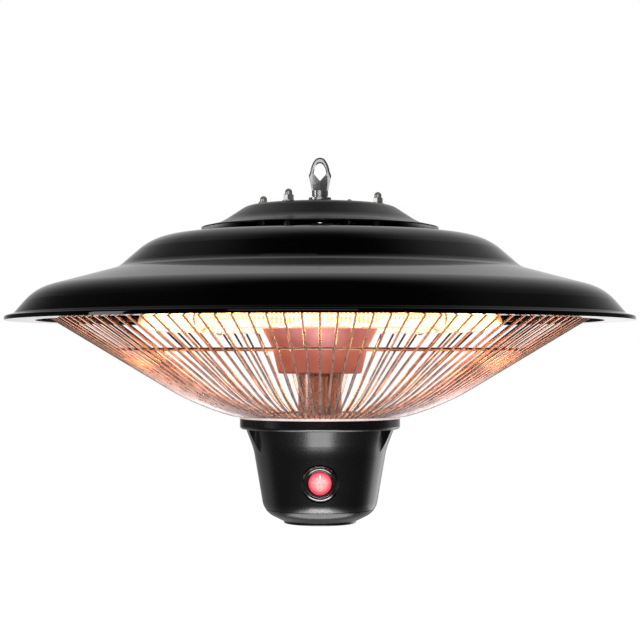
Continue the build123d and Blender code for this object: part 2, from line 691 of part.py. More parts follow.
# Cup in the middle of the reflector, riveted to it by its flange
cup_corners = [
    (CUP_FLANGE_RADIUS, reflector_under - CUP_SHEET),
    (CUP_THROAT_RADIUS, reflector_under - CUP_SHEET),
    (CUP_BAND_RADIUS, reflector_under - CUP_BAND_DROP),
    (CUP_STEP_RADIUS, reflector_under - CUP_STEP_DROP),
    (CUP_FLOOR_RADIUS, reflector_under - CUP_FLOOR_DROP),
    (column_radius + SCREW_GAP, reflector_under - CUP_FLOOR_DROP),
]
with BuildPart() as reflector_cup:
    revolve(sheet_section(cup_corners, [CUP_EASE] * 4, CUP_SHEET))
    with BuildSketch(Plane.XY.offset(reflector_under)):
        with PolarLocations(RIVET_RADIUS, CUP_RIVETS, start_angle=RIVET_START):
            Circle(rivet_hole)
    extrude(amount=-CUP_SHEET, mode=Mode.SUBTRACT)
reflector_cup.part.label = "reflector_cup"


def blind_rivets(places, low, high):
    """Rivets with a round head under the sheets at low and a closing head above them at high."""
    with BuildPart() as rivets:
        with BuildSketch(Plane.XY.offset(low)):
            with Locations(*places):
                Circle(RIVET_HEAD / 2)
        extrude(amount=-RIVET_HEAD_HEIGHT)
        with BuildSketch(Plane.XY.offset(low)):
            with Locations(*places):
                Circle(RIVET_DIAMETER / 2)
        extrude(amount=high - low)
        with BuildSketch(Plane.XY.offset(high)):
            with Locations(*places):
                Circle(RIVET_HEAD / 2)
        extrude(amount=RIVET_HEAD_HEIGHT)
    return rivets.part


rivet_places = PolarLocations(RIVET_RADIUS, CUP_RIVETS, start_angle=RIVET_START).locations
cup_rivets = blind_rivets(rivet_places, reflector_under - CUP_SHEET, reflector_top)
cup_rivets.label = "cup_rivets"

# Quartz tube: a ring of glass, open at the back
tube_arc = 360 - TUBE_GAP
tube_start = 90 + TUBE_GAP / 2
with BuildPart() as quartz_tube:
    with BuildLine(Plane.XY.offset(tube_height)):
        tube_path = CenterArc((0, 0), TUBE_RING_RADIUS, tube_start, tube_arc)
    with BuildSketch(Plane(tube_path @ 0, z_dir=tube_path % 0)):
        Circle(TUBE_DIAMETER / 2)
        Circle(TUBE_DIAMETER / 2 - TUBE_WALL, mode=Mode.SUBTRACT)
    sweep(path=tube_path)
quartz_tube.part.label = "quartz_tube"

# Heating coil: one unbroken wire that lies along the bottom of the tube
coil_radius = (COIL_DIAMETER - COIL_WIRE) / 2
coil_height = tube_height - TUBE_DIAMETER / 2 + TUBE_WALL + COIL_REST + COIL_DIAMETER / 2
coil_start = radians(tube_start + COIL_ENDS)
curl_angle = radians(tube_arc - 2 * COIL_ENDS) / COIL_CURLS


def coil_point(curls):
    """Point and direction of the coil's centreline after a number of curls."""
    bearing = coil_start + curl_angle * curls
    turn = 2 * pi * curls
    outward = Vector(cos(bearing), sin(bearing), 0)
    onward = Vector(-sin(bearing), cos(bearing), 0)
    up = Vector(0, 0, 1)
    reach = TUBE_RING_RADIUS + coil_radius * cos(turn)
    point = outward * reach + up * (coil_height + coil_radius * sin(turn))
    around = (up * cos(turn) - outward * sin(turn)) * (2 * pi * coil_radius)
    return point, (onward * (reach * curl_angle) + around).normalized()


def coil_arcs():
    """Centreline of the coil, two tangent arcs to each half curl."""
    arcs = []
    for half_curl in range(2 * COIL_CURLS):
        start, leave = coil_point(half_curl / 2)
        end, arrive = coil_point((half_curl + 1) / 2)
        chord = end - start
        along = chord.dot(leave + arrive)
        spread = 2 * (1 - leave.dot(arrive))
        handle = (sqrt(along * along + spread * chord.dot(chord)) - along) / spread
        middle = (start + end + (leave - arrive) * handle) / 2
        arcs.append(Edge.make_tangent_arc(start, leave, middle))
        arcs.append(Edge.make_tangent_arc(middle, chord - (leave + arrive) * handle, end))
    return Wire(arcs)


with BuildPart() as heating_coil:
    add(round_wire(coil_arcs(), COIL_WIRE))
heating_coil.part.label = "heating_coil"

# Least gap of the coil to itself, measured between each point and the next curl
points_per_curl = 24
coil_points = [coil_point(step / points_per_curl)[0] for step in range(COIL_CURLS * points_per_curl)]
coil_gap = min(
    (other - point).length - COIL_WIRE
    for step, point in enumerate(coil_points)
    for other in coil_points[step + points_per_curl // 2:step + 2 * points_per_curl]
)
print(f"heating coil: least gap to itself {coil_gap:.2f} mm")

# Ceramic caps on both ends of the tube, each with a wire hole in its top
with BuildPart() as tube_end_caps:
    for side in (-1, 1):
        cap_plane = Plane(
            origin=(side * cap_x, cap_y, tube_height),
            x_dir=(0, 1, 0),
            z_dir=(side * cos(radians(cap_turn)), -sin(radians(cap_turn)), 0),
        )
        with BuildSketch(cap_plane.offset(-CAP_LENGTH / 2)):
            RectangleRounded(CAP_WIDTH, CAP_WIDTH, CAP_EDGE_RADIUS)
        extrude(amount=CAP_LENGTH)
        with BuildSketch(cap_plane.offset(CAP_LENGTH / 2)):
            Circle(TUBE_DIAMETER / 2 + CAP_SOCKET_GAP)
        extrude(amount=-CAP_SOCKET, mode=Mode.SUBTRACT)
        with BuildSketch(Plane.XY.offset(cap_top)):
            with Locations((side * cap_x, cap_y)):
                Circle(LEAD_DIAMETER / 2 + SKIN_GAP)
        extrude(amount=-CAP_LEAD_WELL, mode=Mode.SUBTRACT)
tube_end_caps.part.label = "tube_end_caps"

# Sheet strap over both caps, hung from the reflector by its feet
strap_corners = [
    (-strap_half - STRAP_FOOT, reflector_under - STRAP_SHEET),
    (-strap_half, reflector_under - STRAP_SHEET),
    (-strap_half, cap_top),
    (strap_half, cap_top),
    (strap_half, reflector_under - STRAP_SHEET),
    (strap_half + STRAP_FOOT, reflector_under - STRAP_SHEET),
]
with BuildPart() as tube_strap:
    with BuildSketch(Plane.XZ.offset(-cap_y - STRAP_WIDTH / 2)):
        with BuildLine():
            FilletPolyline(*strap_corners, radius=STRAP_BEND)
            offset(amount=STRAP_SHEET, side=Side.LEFT)
        make_face()
    extrude(amount=STRAP_WIDTH)
    with BuildSketch(Plane.XY.offset(strap_top)):
        with Locations((-cap_x, cap_y), (cap_x, cap_y)):
            Circle(LEAD_DIAMETER / 2 + SCREW_GAP)
    extrude(amount=-STRAP_SHEET, mode=Mode.SUBTRACT)
    with BuildSketch(Plane.XY.offset(reflector_under)):
        with Locations(*strap_rivet_places):
            Circle(rivet_hole)
    extrude(amount=-STRAP_SHEET, mode=Mode.SUBTRACT)
tube_strap.part.label = "tube_strap"

strap_rivets = blind_rivets(strap_rivet_places, reflector_under - STRAP_SHEET, reflector_top)
strap_rivets.label = "strap_rivets"

# Wire clips that carry the tube from below and hook over the top of the reflector
clip_rise = reflector_top + CLIP_WIRE / 2 + SKIN_GAP - tube_height
with BuildPart() as tube_clips:
    for angle in CLIP_ANGLES:
        outward = Vector(cos(radians(angle)), sin(radians(angle)), 0)
        clip_plane = Plane(
            origin=outward * TUBE_RING_RADIUS + Vector(0, 0, tube_height),
            x_dir=outward,
            z_dir=outward.cross(Vector(0, 0, 1)),
        )
        with BuildLine(clip_plane) as clip_line:
            for side in (-1, 1):
                FilletPolyline(
                    (side * (clip_reach + CLIP_FOOT), clip_rise), (side * clip_reach, clip_rise),
                    (side * clip_reach, 0),
                    radius=CLIP_WIRE,
                )
            CenterArc((0, 0), clip_reach, 180, 180)
        add(round_wire(clip_line.wire(), CLIP_WIRE))
tube_clips.part.label = "tube_clips"

# Thermal cut-out on the back of the reflector
with BuildPart() as thermal_cutout:
    with BuildSketch(Plane.XY.offset(reflector_top)):
        with Locations((CUTOUT_X, CUTOUT_Y)):
            SlotOverall(CUTOUT_BASE_LENGTH, CUTOUT_BASE_WIDTH)
    extrude(amount=CUTOUT_BASE_SHEET)
    with BuildSketch(Plane.XY.offset(reflector_top + CUTOUT_BASE_SHEET)):
        with Locations((CUTOUT_X, CUTOUT_Y)):
            Circle(CUTOUT_DIAMETER / 2)
    extrude(amount=CUTOUT_HEIGHT)
    chamfer(edges().group_by(Axis.Z)[-1], CUTOUT_CHAMFER)
thermal_cutout.part.label = "thermal_cutout"

# Clamp ring under the rim: it carries the guard's top ring and closes the shade's edge
clamp_outer = RIM_RADIUS - SHADE_SHEET - SKIN_GAP
clamp_screw_radius = wall_radius - CLAMP_SCREW_INSET
bracket_toe = clamp_screw_radius - BRACKET_FOOT
top_ring_radius = bracket_toe - TOP_RING_GAP - TOP_RING_WIRE / 2
clamp_inner = top_ring_radius - CLAMP_RING_LEDGE


def clamp_screw_cone(clearance):
    """Section of the flat-head clamp screw, head down, with its clearance all round."""
    shank = CLAMP_SCREW_DIAMETER / 2 + clearance
    head = CLAMP_SCREW_HEAD / 2 + clearance
    cone = head - shank
    with BuildPart() as screw:
        with BuildSketch(Plane.XZ):
            Polygon(
                (0, 0), (head, 0), (shank, cone), (shank, CLAMP_SCREW_LENGTH + clearance),
                (0, CLAMP_SCREW_LENGTH + clearance),
                align=None,
            )
        revolve(axis=Axis.Z)
    return screw.part


def clamp_screw_group(clearance):
    """The clamp screws, or the room that they need, round the ring."""
    with BuildPart(Plane.XY.offset(rim_bottom)) as group:
        with PolarLocations(clamp_screw_radius, CLAMP_SCREWS, start_angle=CLAMP_SCREW_START):
            add(clamp_screw_cone(clearance))
    return group.part


clamp_screws = clamp_screw_group(0)
clamp_screws.label = "clamp_screws"
clamp_screw_room = clamp_screw_group(SLIP)

with BuildPart() as clamp_ring:
    revolve(ring_section(clamp_inner, clamp_outer, rim_bottom, clamp_top))
    add(clamp_screw_room, mode=Mode.SUBTRACT)
clamp_ring.part.label = "clamp_ring"

# Brackets on the inside of the shade's wall that the clamp screws pull on
wall_lean = atan2(WALL_DROP - SHOULDER_DROP, wall_radius - shoulder_radius)
skin_offset = SHADE_SHEET + SKIN_GAP
leg_radius = wall_radius - skin_offset * sin(wall_lean)
leg_height = shade_top - WALL_DROP - skin_offset * cos(wall_lean)
leg_corner = leg_radius + (leg_height - clamp_top) / tan(wall_lean)
bracket_corners = [
    (bracket_toe, clamp_top),
    (leg_corner, clamp_top),
    (leg_corner - BRACKET_LEG * cos(wall_lean), clamp_top + BRACKET_LEG * sin(wall_lean)),
]
with BuildPart() as clamp_bracket:
    revolve(
        sheet_section(bracket_corners, [BRACKET_BEND], BRACKET_SHEET, side=Side.LEFT),
        revolution_arc=BRACKET_ARC,
    )
with BuildPart() as clamp_brackets:
    with PolarLocations(0, CLAMP_SCREWS, start_angle=CLAMP_SCREW_START - BRACKET_ARC / 2):
        add(clamp_bracket.part)
    add(clamp_screw_room, mode=Mode.SUBTRACT)
clamp_brackets.part.label = "clamp_brackets"

# Wire guard: spokes welded on a top ring, a middle ring and a flat hub ring
top_ring_height = clamp_top + TOP_RING_WIRE / 2
spoke_top = clamp_top + TOP_RING_WIRE + SPOKE_WIRE / 2
spoke_foot = hub_top + HUB_RING_SHEET + SPOKE_WIRE / 2
spoke_knee = spoke_foot + SPOKE_KNEE_RISE
spoke_bend_radius = clamp_inner - SPOKE_BEND_INSET
spoke_corners = [
    (top_ring_radius + SPOKE_OVERHANG, spoke_top),
    (spoke_bend_radius, spoke_top),
    (SPOKE_KNEE_RADIUS, spoke_knee),
    (SPOKE_FOOT_RADIUS, spoke_foot),
    (SPOKE_END_RADIUS, spoke_foot),
]

# The knee is as gentle as the run between knee and foot has room for
cone_slope = atan2(spoke_top - spoke_knee, spoke_bend_radius - SPOKE_KNEE_RADIUS)
foot_slope = atan2(SPOKE_KNEE_RISE, SPOKE_KNEE_RADIUS - SPOKE_FOOT_RADIUS)
foot_run = SPOKE_KNEE_RISE / sin(foot_slope) - SPOKE_FOOT_EASE * tan(foot_slope / 2)
knee_limit = (foot_run - SKIN_GAP) / tan((cone_slope - foot_slope) / 2)
spoke_eases = [SPOKE_TOP_EASE, min(SPOKE_KNEE_EASE, knee_limit), SPOKE_FOOT_EASE]
with BuildLine(Plane.XZ) as spoke_line:
    FilletPolyline(*spoke_corners, radius=spoke_eases)
spoke = round_wire(spoke_line.wire(), SPOKE_WIRE)
with BuildPart() as guard_spokes:
    with PolarLocations(0, SPOKES, start_angle=SPOKE_START):
        add(spoke)
guard_spokes.part.label = "guard_spokes"

with BuildPart() as guard_top_ring:
    with BuildSketch(Plane.XZ):
        with Locations((top_ring_radius, top_ring_height)):
            Circle(TOP_RING_WIRE / 2)
    revolve(axis=Axis.Z)
guard_top_ring.part.label = "guard_top_ring"

mid_ring_lift = (SPOKE_WIRE + MID_RING_WIRE) / 2
mid_ring_on_cone = spoke_top - (spoke_bend_radius - MID_RING_RADIUS) * tan(cone_slope)
with BuildPart() as guard_mid_ring:
    with BuildSketch(Plane.XZ):
        with Locations((MID_RING_RADIUS - mid_ring_lift * sin(cone_slope),
                        mid_ring_on_cone + mid_ring_lift * cos(cone_slope))):
            Circle(MID_RING_WIRE / 2)
    revolve(axis=Axis.Z)
guard_mid_ring.part.label = "guard_mid_ring"

with BuildPart() as guard_hub_ring:
    revolve(ring_section(HUB_RING_INNER, HUB_RING_OUTER, hub_top, hub_top + HUB_RING_SHEET))
guard_hub_ring.part.label = "guard_hub_ring"


def housing_screw_discs(height, radius):
    """Circles on the centres of the screws between hub and housing."""
    with BuildSketch(Plane.XY.offset(height)) as discs:
        with PolarLocations(HOUSING_SCREW_RADIUS, HOUSING_SCREWS, start_angle=HOUSING_SCREW_START):
            Circle(radius)
    return discs.sketch


# Hub plate on the column, and the black flange round it
with BuildPart() as hub_plate:
    revolve(ring_section(column_radius + SLIP, HUB_PLATE_RADIUS, hub_under, hub_top))
    thread = housing_screw_discs(hub_top, HOUSING_SCREW_DIAMETER / 2 + SLIP)
    extrude(thread, amount=-HUB_PLATE, mode=Mode.SUBTRACT)
hub_plate.part.label = "hub_plate"

seat_radius = HUB_PLATE_RADIUS + SCREW_GAP
flange_inner = FLANGE_RADIUS - FLANGE_WALL
flange_hole = column_radius + SCREW_GAP
with BuildPart() as hub_flange:
    with BuildSketch(Plane.XZ):
        Polygon(
            (flange_hole, housing_top), (FLANGE_RADIUS, housing_top), (FLANGE_RADIUS, hub_top),
            (seat_radius, hub_top), (seat_radius, hub_under), (flange_inner, hub_under),
            (flange_inner, housing_top + FLANGE_FLOOR), (flange_hole, housing_top + FLANGE_FLOOR),
            align=None,
        )
        fillet(vertices().group_by(Axis.Z)[0].sort_by(Axis.X)[-1], FLANGE_EASE)
    revolve(axis=Axis.Z)
    extrude(housing_screw_discs(housing_top, HOUSING_SCREW_BOSS), amount=hub_under - housing_top)
    screw_holes = housing_screw_discs(housing_top, HOUSING_SCREW_DIAMETER / 2 + SCREW_GAP)
    extrude(screw_holes, amount=FLANGE_HEIGHT, mode=Mode.SUBTRACT)
hub_flange.part.label = "hub_flange"

with BuildPart() as column_nut:
    revolve(ring_section(column_radius + SLIP, COLUMN_NUT_RADIUS, column_end, housing_top))
    with BuildSketch(Plane.XY.offset(column_end)):
        with PolarLocations(COLUMN_NUT_RADIUS, COLUMN_NUT_NOTCHES):
            Rectangle(COLUMN_NUT_NOTCH, COLUMN_NUT_NOTCH)
    extrude(amount=COLUMN_NUT_HEIGHT, mode=Mode.SUBTRACT)
column_nut.part.label = "column_nut"

with BuildPart() as housing_screws:
    extrude(housing_screw_discs(plate_under, HOUSING_SCREW_HEAD / 2), amount=-HOUSING_SCREW_HEAD_HEIGHT)
    fillet(edges().group_by(Axis.Z)[0], HOUSING_SCREW_EASE)
    extrude(housing_screw_discs(plate_under, HOUSING_SCREW_DIAMETER / 2), amount=hub_top - plate_under)
housing_screws.part.label = "housing_screws"

# The outer skin of housing and bottom cap is one curve, cut at the seam
bell_corners = [
    (HOUSING_TOP_RADIUS, housing_top),
    (NECK_RADIUS, housing_top - NECK_DROP),
    (TOE_RADIUS, housing_top - TOE_DROP),
    (BASE_RADIUS, base),
    (DISC_SOCKET_RADIUS + SCREW_GAP, base),
]
bell_eases = [NECK_EASE, TOE_EASE, BASE_EASE]
with BuildPart() as bell_core:
    with BuildSketch(Plane.XZ):
        with BuildLine():
            FilletPolyline(*bell_corners, radius=eased(bell_corners, bell_eases))
            Polyline(bell_corners[-1], (0, base), (0, housing_top), bell_corners[0])
        make_face()
    revolve(axis=Axis.Z)
with BuildPart() as bell_shell:
    revolve(sheet_section(bell_corners, bell_eases, HOUSING_WALL))
    add(bell_core.part, mode=Mode.INTERSECT)

# Plane of the switch: its normal leans with the housing's wall
wall_angle = atan2(NECK_RADIUS - TOE_RADIUS, TOE_DROP - NECK_DROP)
switch_radius = NECK_RADIUS - (SWITCH_DROP - NECK_DROP) * tan(wall_angle)
switch_face = Plane(
    origin=(0, -switch_radius, housing_top - SWITCH_DROP),
    x_dir=(1, 0, 0),
    z_dir=(0, -cos(wall_angle), -sin(wall_angle)),
)
pocket_floor = switch_face.offset(-POCKET_DEPTH)


def disc(plane, radius, amount):
    """Round disc on a plane."""
    with BuildPart() as piece:
        with BuildSketch(plane):
            Circle(radius)
        extrude(amount=amount)
    return piece.part


def scoop_discs(radius):
    """Circles of the four scoops at the housing's shoulder."""
    across = 2 * SCOOP_CENTRE * sin(radians(SCOOP_ANGLE))
    along = 2 * SCOOP_CENTRE * cos(radians(SCOOP_ANGLE))
    with BuildSketch(Plane.XY.offset(housing_top)) as discs:
        with GridLocations(across, along, 2, 2):
            Circle(radius)
    return discs.sketch


def cap_screw_discs(height, radius):
    """Circles on the centres of the bottom cap's screws."""
    with BuildSketch(Plane.XY.offset(height)) as discs:
        with PolarLocations(CAP_BOSS_DISTANCE, CAP_SCREWS, start_angle=CAP_SCREW_START):
            Circle(radius)
    return discs.sketch


# Inside the housing: walls behind the scoops and the switch pocket, and the screw bosses' ribs
nut_room = COLUMN_NUT_RADIUS + SCREW_GAP
boss_end = seam + CAP_POST_RISE
pocket_back = pocket_floor.offset(-HOUSING_WALL)
with BuildPart() as housing_walls:
    extrude(scoop_discs(SCOOP_RADIUS + SCOOP_WALL), amount=-SCOOP_DROP - SCOOP_WALL)
    add(disc(pocket_back, POCKET_RADIUS + HOUSING_WALL, HOUSING_WALL + 2 * POCKET_DEPTH))
    with BuildSketch(Plane.XY.offset(boss_end)):
        with PolarLocations(nut_room, CAP_SCREWS, start_angle=CAP_SCREW_START):
            Rectangle(HOUSING_TOP_RADIUS, CAP_BOSS_RIB, align=(Align.MIN, Align.CENTER))
    extrude(amount=plate_under - boss_end)
    add(bell_core.part, mode=Mode.INTERSECT)

with BuildPart() as lower_housing:
    add(bell_shell.part)
    split(bisect_by=Plane.XY.offset(seam + SEAM_GAP), keep=Keep.TOP)
    add(housing_walls.part)
    with BuildSketch(Plane.XY.offset(housing_top)):
        Circle(HOUSING_TOP_RADIUS - HOUSING_WALL)
        Circle(nut_room, mode=Mode.SUBTRACT)
    extrude(amount=-HOUSING_WALL)
    extrude(cap_screw_discs(boss_end, CAP_BOSS_RADIUS), amount=column_end - SCREW_GAP - boss_end)
    cap_threads = cap_screw_discs(boss_end, CAP_SCREW_DIAMETER / 2 + SLIP)
    extrude(cap_threads, amount=CAP_SCREW_LENGTH, mode=Mode.SUBTRACT)
    screw_holes = housing_screw_discs(housing_top, HOUSING_SCREW_DIAMETER / 2 + SCREW_GAP)
    extrude(screw_holes, amount=-HOUSING_WALL, mode=Mode.SUBTRACT)
    extrude(scoop_discs(SCOOP_RADIUS), amount=-SCOOP_DROP, mode=Mode.SUBTRACT)
    add(disc(pocket_floor, POCKET_RADIUS, 2 * POCKET_DEPTH), mode=Mode.SUBTRACT)
    add(disc(pocket_floor, BARREL_RADIUS + SLIP, -2 * HOUSING_WALL), mode=Mode.SUBTRACT)
lower_housing.part.label = "lower_housing"

# Bottom cap with three screw posts that reach past the seam
cap_floor = base + HOUSING_WALL
cap_post_top = boss_end - SKIN_GAP
with BuildPart() as bottom_cap:
    add(bell_shell.part)
    split(bisect_by=Plane.XY.offset(seam), keep=Keep.BOTTOM)
    extrude(cap_screw_discs(cap_floor, CAP_BOSS_RADIUS), amount=cap_post_top - cap_floor)
    screw_holes = cap_screw_discs(base, CAP_SCREW_DIAMETER / 2 + SCREW_GAP)
    extrude(screw_holes, amount=cap_post_top - base, mode=Mode.SUBTRACT)
    head_holes = cap_screw_discs(base, CAP_SCREW_HEAD / 2 + SCREW_GAP)
    extrude(head_holes, amount=CAP_SCREW_HEAD_HEIGHT + SCREW_GAP, mode=Mode.SUBTRACT)
bottom_cap.part.label = "bottom_cap"

with BuildPart() as cap_screws:
    cap_head_top = base + CAP_SCREW_HEAD_HEIGHT + SCREW_GAP
    extrude(cap_screw_discs(cap_head_top, CAP_SCREW_HEAD / 2), amount=-CAP_SCREW_HEAD_HEIGHT)
    extrude(cap_screw_discs(cap_head_top, CAP_SCREW_DIAMETER / 2), amount=CAP_SCREW_LENGTH)
cap_screws.part.label = "cap_screws"

# Round disc that snaps into the bottom cap and hides its screws
with BuildPart() as base_disc:
    with BuildSketch(Plane.XY.offset(base)):
        Circle(DISC_RADIUS)
    extrude(amount=-DISC_HEIGHT)
    fillet(edges().group_by(Axis.Z)[0], DISC_EASE)
    collar_inner = DISC_SOCKET_RADIUS - DISC_COLLAR_SHEET
    revolve(ring_section(collar_inner, DISC_SOCKET_RADIUS, base, base + DISC_COLLAR_RISE))
base_disc.part.label = "base_disc"

# Rocker switch: body with bezel and barrel, trim ring, rocker on its pin, lamp and blades
bezel_top = -POCKET_DEPTH + BEZEL_HEIGHT
trim_top = bezel_top + TRIM_PROUD
half_tilt = radians(ROCKER_TILT)
pivot_depth = trim_top - ROCKER_SINK - ROCKER_VALLEY * cos(half_tilt)
barrel_end = -POCKET_DEPTH - BARREL_LENGTH
pivot_plane = switch_face.offset(pivot_depth)
pin_plane = Plane(origin=pivot_plane.origin, x_dir=(0, 0, 1), z_dir=(1, 0, 0))
well_floor = switch_face.offset(barrel_end + BARREL_BACK)
trim_seat = switch_face.offset(bezel_top - TRIM_SEAT)


def pivot_bore(radius, length):
    """Round bar along the rocker's axis."""
    return disc(pin_plane.offset(-length / 2), radius, length)


with BuildPart() as switch_body:
    add(disc(pocket_floor, BEZEL_RADIUS, BEZEL_HEIGHT))
    fillet(edges().filter_by(GeomType.CIRCLE).sort_by(Axis.Y)[0], BEZEL_EASE)
    add(disc(pocket_floor, BARREL_RADIUS, -BARREL_LENGTH))
    add(disc(well_floor, WELL_RADIUS, BARREL_LENGTH + BEZEL_HEIGHT - BARREL_BACK), mode=Mode.SUBTRACT)
    add(disc(trim_seat, TRIM_RADIUS + SLIP, TRIM_SEAT), mode=Mode.SUBTRACT)
    add(pivot_bore(PIN_DIAMETER / 2 + SLIP, 2 * BARREL_RADIUS), mode=Mode.SUBTRACT)
switch_body.part.label = "switch_body"

with BuildPart() as switch_trim_ring:
    with BuildSketch(trim_seat):
        Circle(TRIM_RADIUS)
        Circle(WELL_RADIUS, mode=Mode.SUBTRACT)
    extrude(amount=TRIM_SEAT + TRIM_PROUD)
    fillet(edges().group_by(Axis((0, 0, 0), tuple(switch_face.z_dir)))[-1], TRIM_EASE)
switch_trim_ring.part.label = "switch_trim_ring"

# The rocker is modelled pressed at its upper half, where it rests when the heater is on
rocker_plane = pivot_plane.rotated((-ROCKER_TILT, 0, 0))
rocker_side = Plane(origin=pivot_plane.origin, x_dir=rocker_plane.y_dir, z_dir=(1, 0, 0))
with BuildPart() as rocker:
    with BuildSketch(rocker_side.offset(-ROCKER_RADIUS)):
        rise = ROCKER_VALLEY + ROCKER_RADIUS * tan(half_tilt)
        Polygon(
            (-ROCKER_RADIUS, -ROCKER_UNDER), (ROCKER_RADIUS, -ROCKER_UNDER), (ROCKER_RADIUS, rise),
            (0, ROCKER_VALLEY), (-ROCKER_RADIUS, rise),
            align=None,
        )
    extrude(amount=2 * ROCKER_RADIUS)
    add(disc(rocker_plane.offset(-ROCKER_RADIUS), ROCKER_RADIUS, 2 * ROCKER_RADIUS), mode=Mode.INTERSECT)
    with Locations(pivot_plane.location):
        Sphere(ROCKER_SWEEP, mode=Mode.INTERSECT)
    add(pivot_bore(PIN_DIAMETER / 2 + SLIP, 2 * ROCKER_RADIUS), mode=Mode.SUBTRACT)
rocker.part.label = "rocker"

with BuildPart() as rocker_pin:
    add(pivot_bore(PIN_DIAMETER / 2, 2 * (BARREL_RADIUS - PIN_END_GAP)))
rocker_pin.part.label = "rocker_pin"

with BuildPart() as switch_lamp:
    add(disc(well_floor, LAMP_RADIUS, LAMP_LENGTH))
    fillet(edges().filter_by(GeomType.CIRCLE).sort_by(Axis.Y)[0], LAMP_EASE)
switch_lamp.part.label = "switch_lamp"

with BuildPart() as switch_blades:
    with BuildSketch(switch_face.offset(barrel_end)):
        with GridLocations(BLADE_SPAN_X, BLADE_SPAN_Y, 2, 2):
            Rectangle(BLADE_WIDTH, BLADE_SHEET)
    extrude(amount=-BLADE_LENGTH)
switch_blades.part.label = "switch_blades"

# Inner wires, chosen by hand: down the column to the switch, and back up to the heater
blade_end = barrel_end - BLADE_LENGTH - LEAD_END_GAP
upper_blade = switch_face.from_local_coords((BLADE_SPAN_X / 2, BLADE_SPAN_Y / 2, blade_end))
lower_blade = switch_face.from_local_coords((BLADE_SPAN_X / 2, -BLADE_SPAN_Y / 2, blade_end))
terminal_face = TERMINAL_OFFSET - TERMINAL_WIDTH / 2
terminal_height = shade_top + TERMINAL_HEIGHT / 2
window_height = support_under - COLUMN_WINDOW_DROP


def leads(points, radius):
    """A pair of round wires, one the mirror image of the other."""
    with BuildPart() as pair:
        for side in (1, -1):
            with BuildLine() as route:
                FilletPolyline(*[(side * x, y, z) for x, y, z in points], radius=radius)
            add(round_wire(route.wire(), LEAD_DIAMETER))
    return pair.part


supply_x = BLADE_SPAN_X / 2
supply_leads = leads(
    [
        (TERMINAL_PITCH, terminal_face + LEAD_IN_TERMINAL, terminal_height),
        (TERMINAL_PITCH, terminal_face - LEAD_TAIL, terminal_height),
        (supply_x, SUPPLY_LEAD_Y, terminal_height),
        (supply_x, SUPPLY_LEAD_Y, upper_blade.Z),
        (supply_x, upper_blade.Y, upper_blade.Z),
    ],
    LEAD_EASE,
)
supply_leads.label = "supply_leads"
heater_leads = leads(
    [
        (supply_x, lower_blade.Y, lower_blade.Z),
        (supply_x, HEATER_LEAD_Y, lower_blade.Z),
        (supply_x, HEATER_LEAD_Y, window_height),
        (cap_x, cap_y, window_height),
        (cap_x, cap_y, cap_top - CAP_LEAD_WELL),
    ],
    LEAD_EASE,
)
heater_leads.label = "heater_leads"

pieces = [
    hanging_eye.part, eye_washer.part, eye_seal.part, eye_nut.part, hanger_plate.part, top_cover.part,
    cable_grommet.part, tie_studs.part, acorn_washers.part, acorn_nuts.part, cover_spacers,
    reflector_spacers, stud_nuts.part, terminal_block.part, terminal_screws.part, shade.part,
    support_plate.part, centre_column.part, reflector.part, reflector_cup.part, cup_rivets,
    quartz_tube.part, heating_coil.part, tube_end_caps.part, tube_strap.part, strap_rivets,
    tube_clips.part, thermal_cutout.part, clamp_screws, clamp_ring.part, clamp_brackets.part,
    guard_spokes.part, guard_top_ring.part, guard_mid_ring.part, guard_hub_ring.part, hub_plate.part,
    hub_flange.part, column_nut.part, housing_screws.part, lower_housing.part, bottom_cap.part,
    cap_screws.part, base_disc.part, switch_body.part, switch_trim_ring.part, rocker.part,
    rocker_pin.part, switch_lamp.part, switch_blades.part, supply_leads, heater_leads,
]
for piece in pieces:
    export_step(piece, f"parts/{piece.label}.step")
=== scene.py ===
from math import atan, cos, pi, radians, sin

import bpy
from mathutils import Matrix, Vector


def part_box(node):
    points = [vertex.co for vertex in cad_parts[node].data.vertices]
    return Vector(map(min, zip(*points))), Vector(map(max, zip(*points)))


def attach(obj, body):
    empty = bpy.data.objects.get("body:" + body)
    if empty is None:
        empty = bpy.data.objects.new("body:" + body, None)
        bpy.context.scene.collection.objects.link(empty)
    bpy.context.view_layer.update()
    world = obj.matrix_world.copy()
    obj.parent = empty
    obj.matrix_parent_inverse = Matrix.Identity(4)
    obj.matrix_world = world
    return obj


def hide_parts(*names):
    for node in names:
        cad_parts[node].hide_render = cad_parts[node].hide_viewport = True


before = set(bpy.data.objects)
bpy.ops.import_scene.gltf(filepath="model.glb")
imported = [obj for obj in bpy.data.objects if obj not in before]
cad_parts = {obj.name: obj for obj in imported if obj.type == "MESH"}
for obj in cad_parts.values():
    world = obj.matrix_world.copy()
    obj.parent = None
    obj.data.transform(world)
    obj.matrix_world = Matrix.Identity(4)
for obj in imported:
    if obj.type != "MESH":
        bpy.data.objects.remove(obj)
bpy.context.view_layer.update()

# Hanging eye and its washer: a drop forging of carbon steel, zinc plated. The plating is bright but follows the
# dimpled skin of the forging, so its reflections are soft and patchy.


def colour(code):
    """Linear colour, with alpha 1, of an sRGB hex value."""
    parts = [int(code[place:place + 2], 16) / 255 for place in (0, 2, 4)]
    return (*[p / 12.92 if p <= 0.04045 else ((p + 0.055) / 1.055) ** 2.4 for p in parts], 1.0)


def per_mm(size):
    """Texture scale, in patterns per metre, of a pattern of that size in millimetres."""
    return 1000 / size


def empty_material(name):
    """Material whose node tree is still empty."""
    material = bpy.data.materials.new(name)
    material.use_nodes = True
    material.node_tree.nodes.clear()
    return material


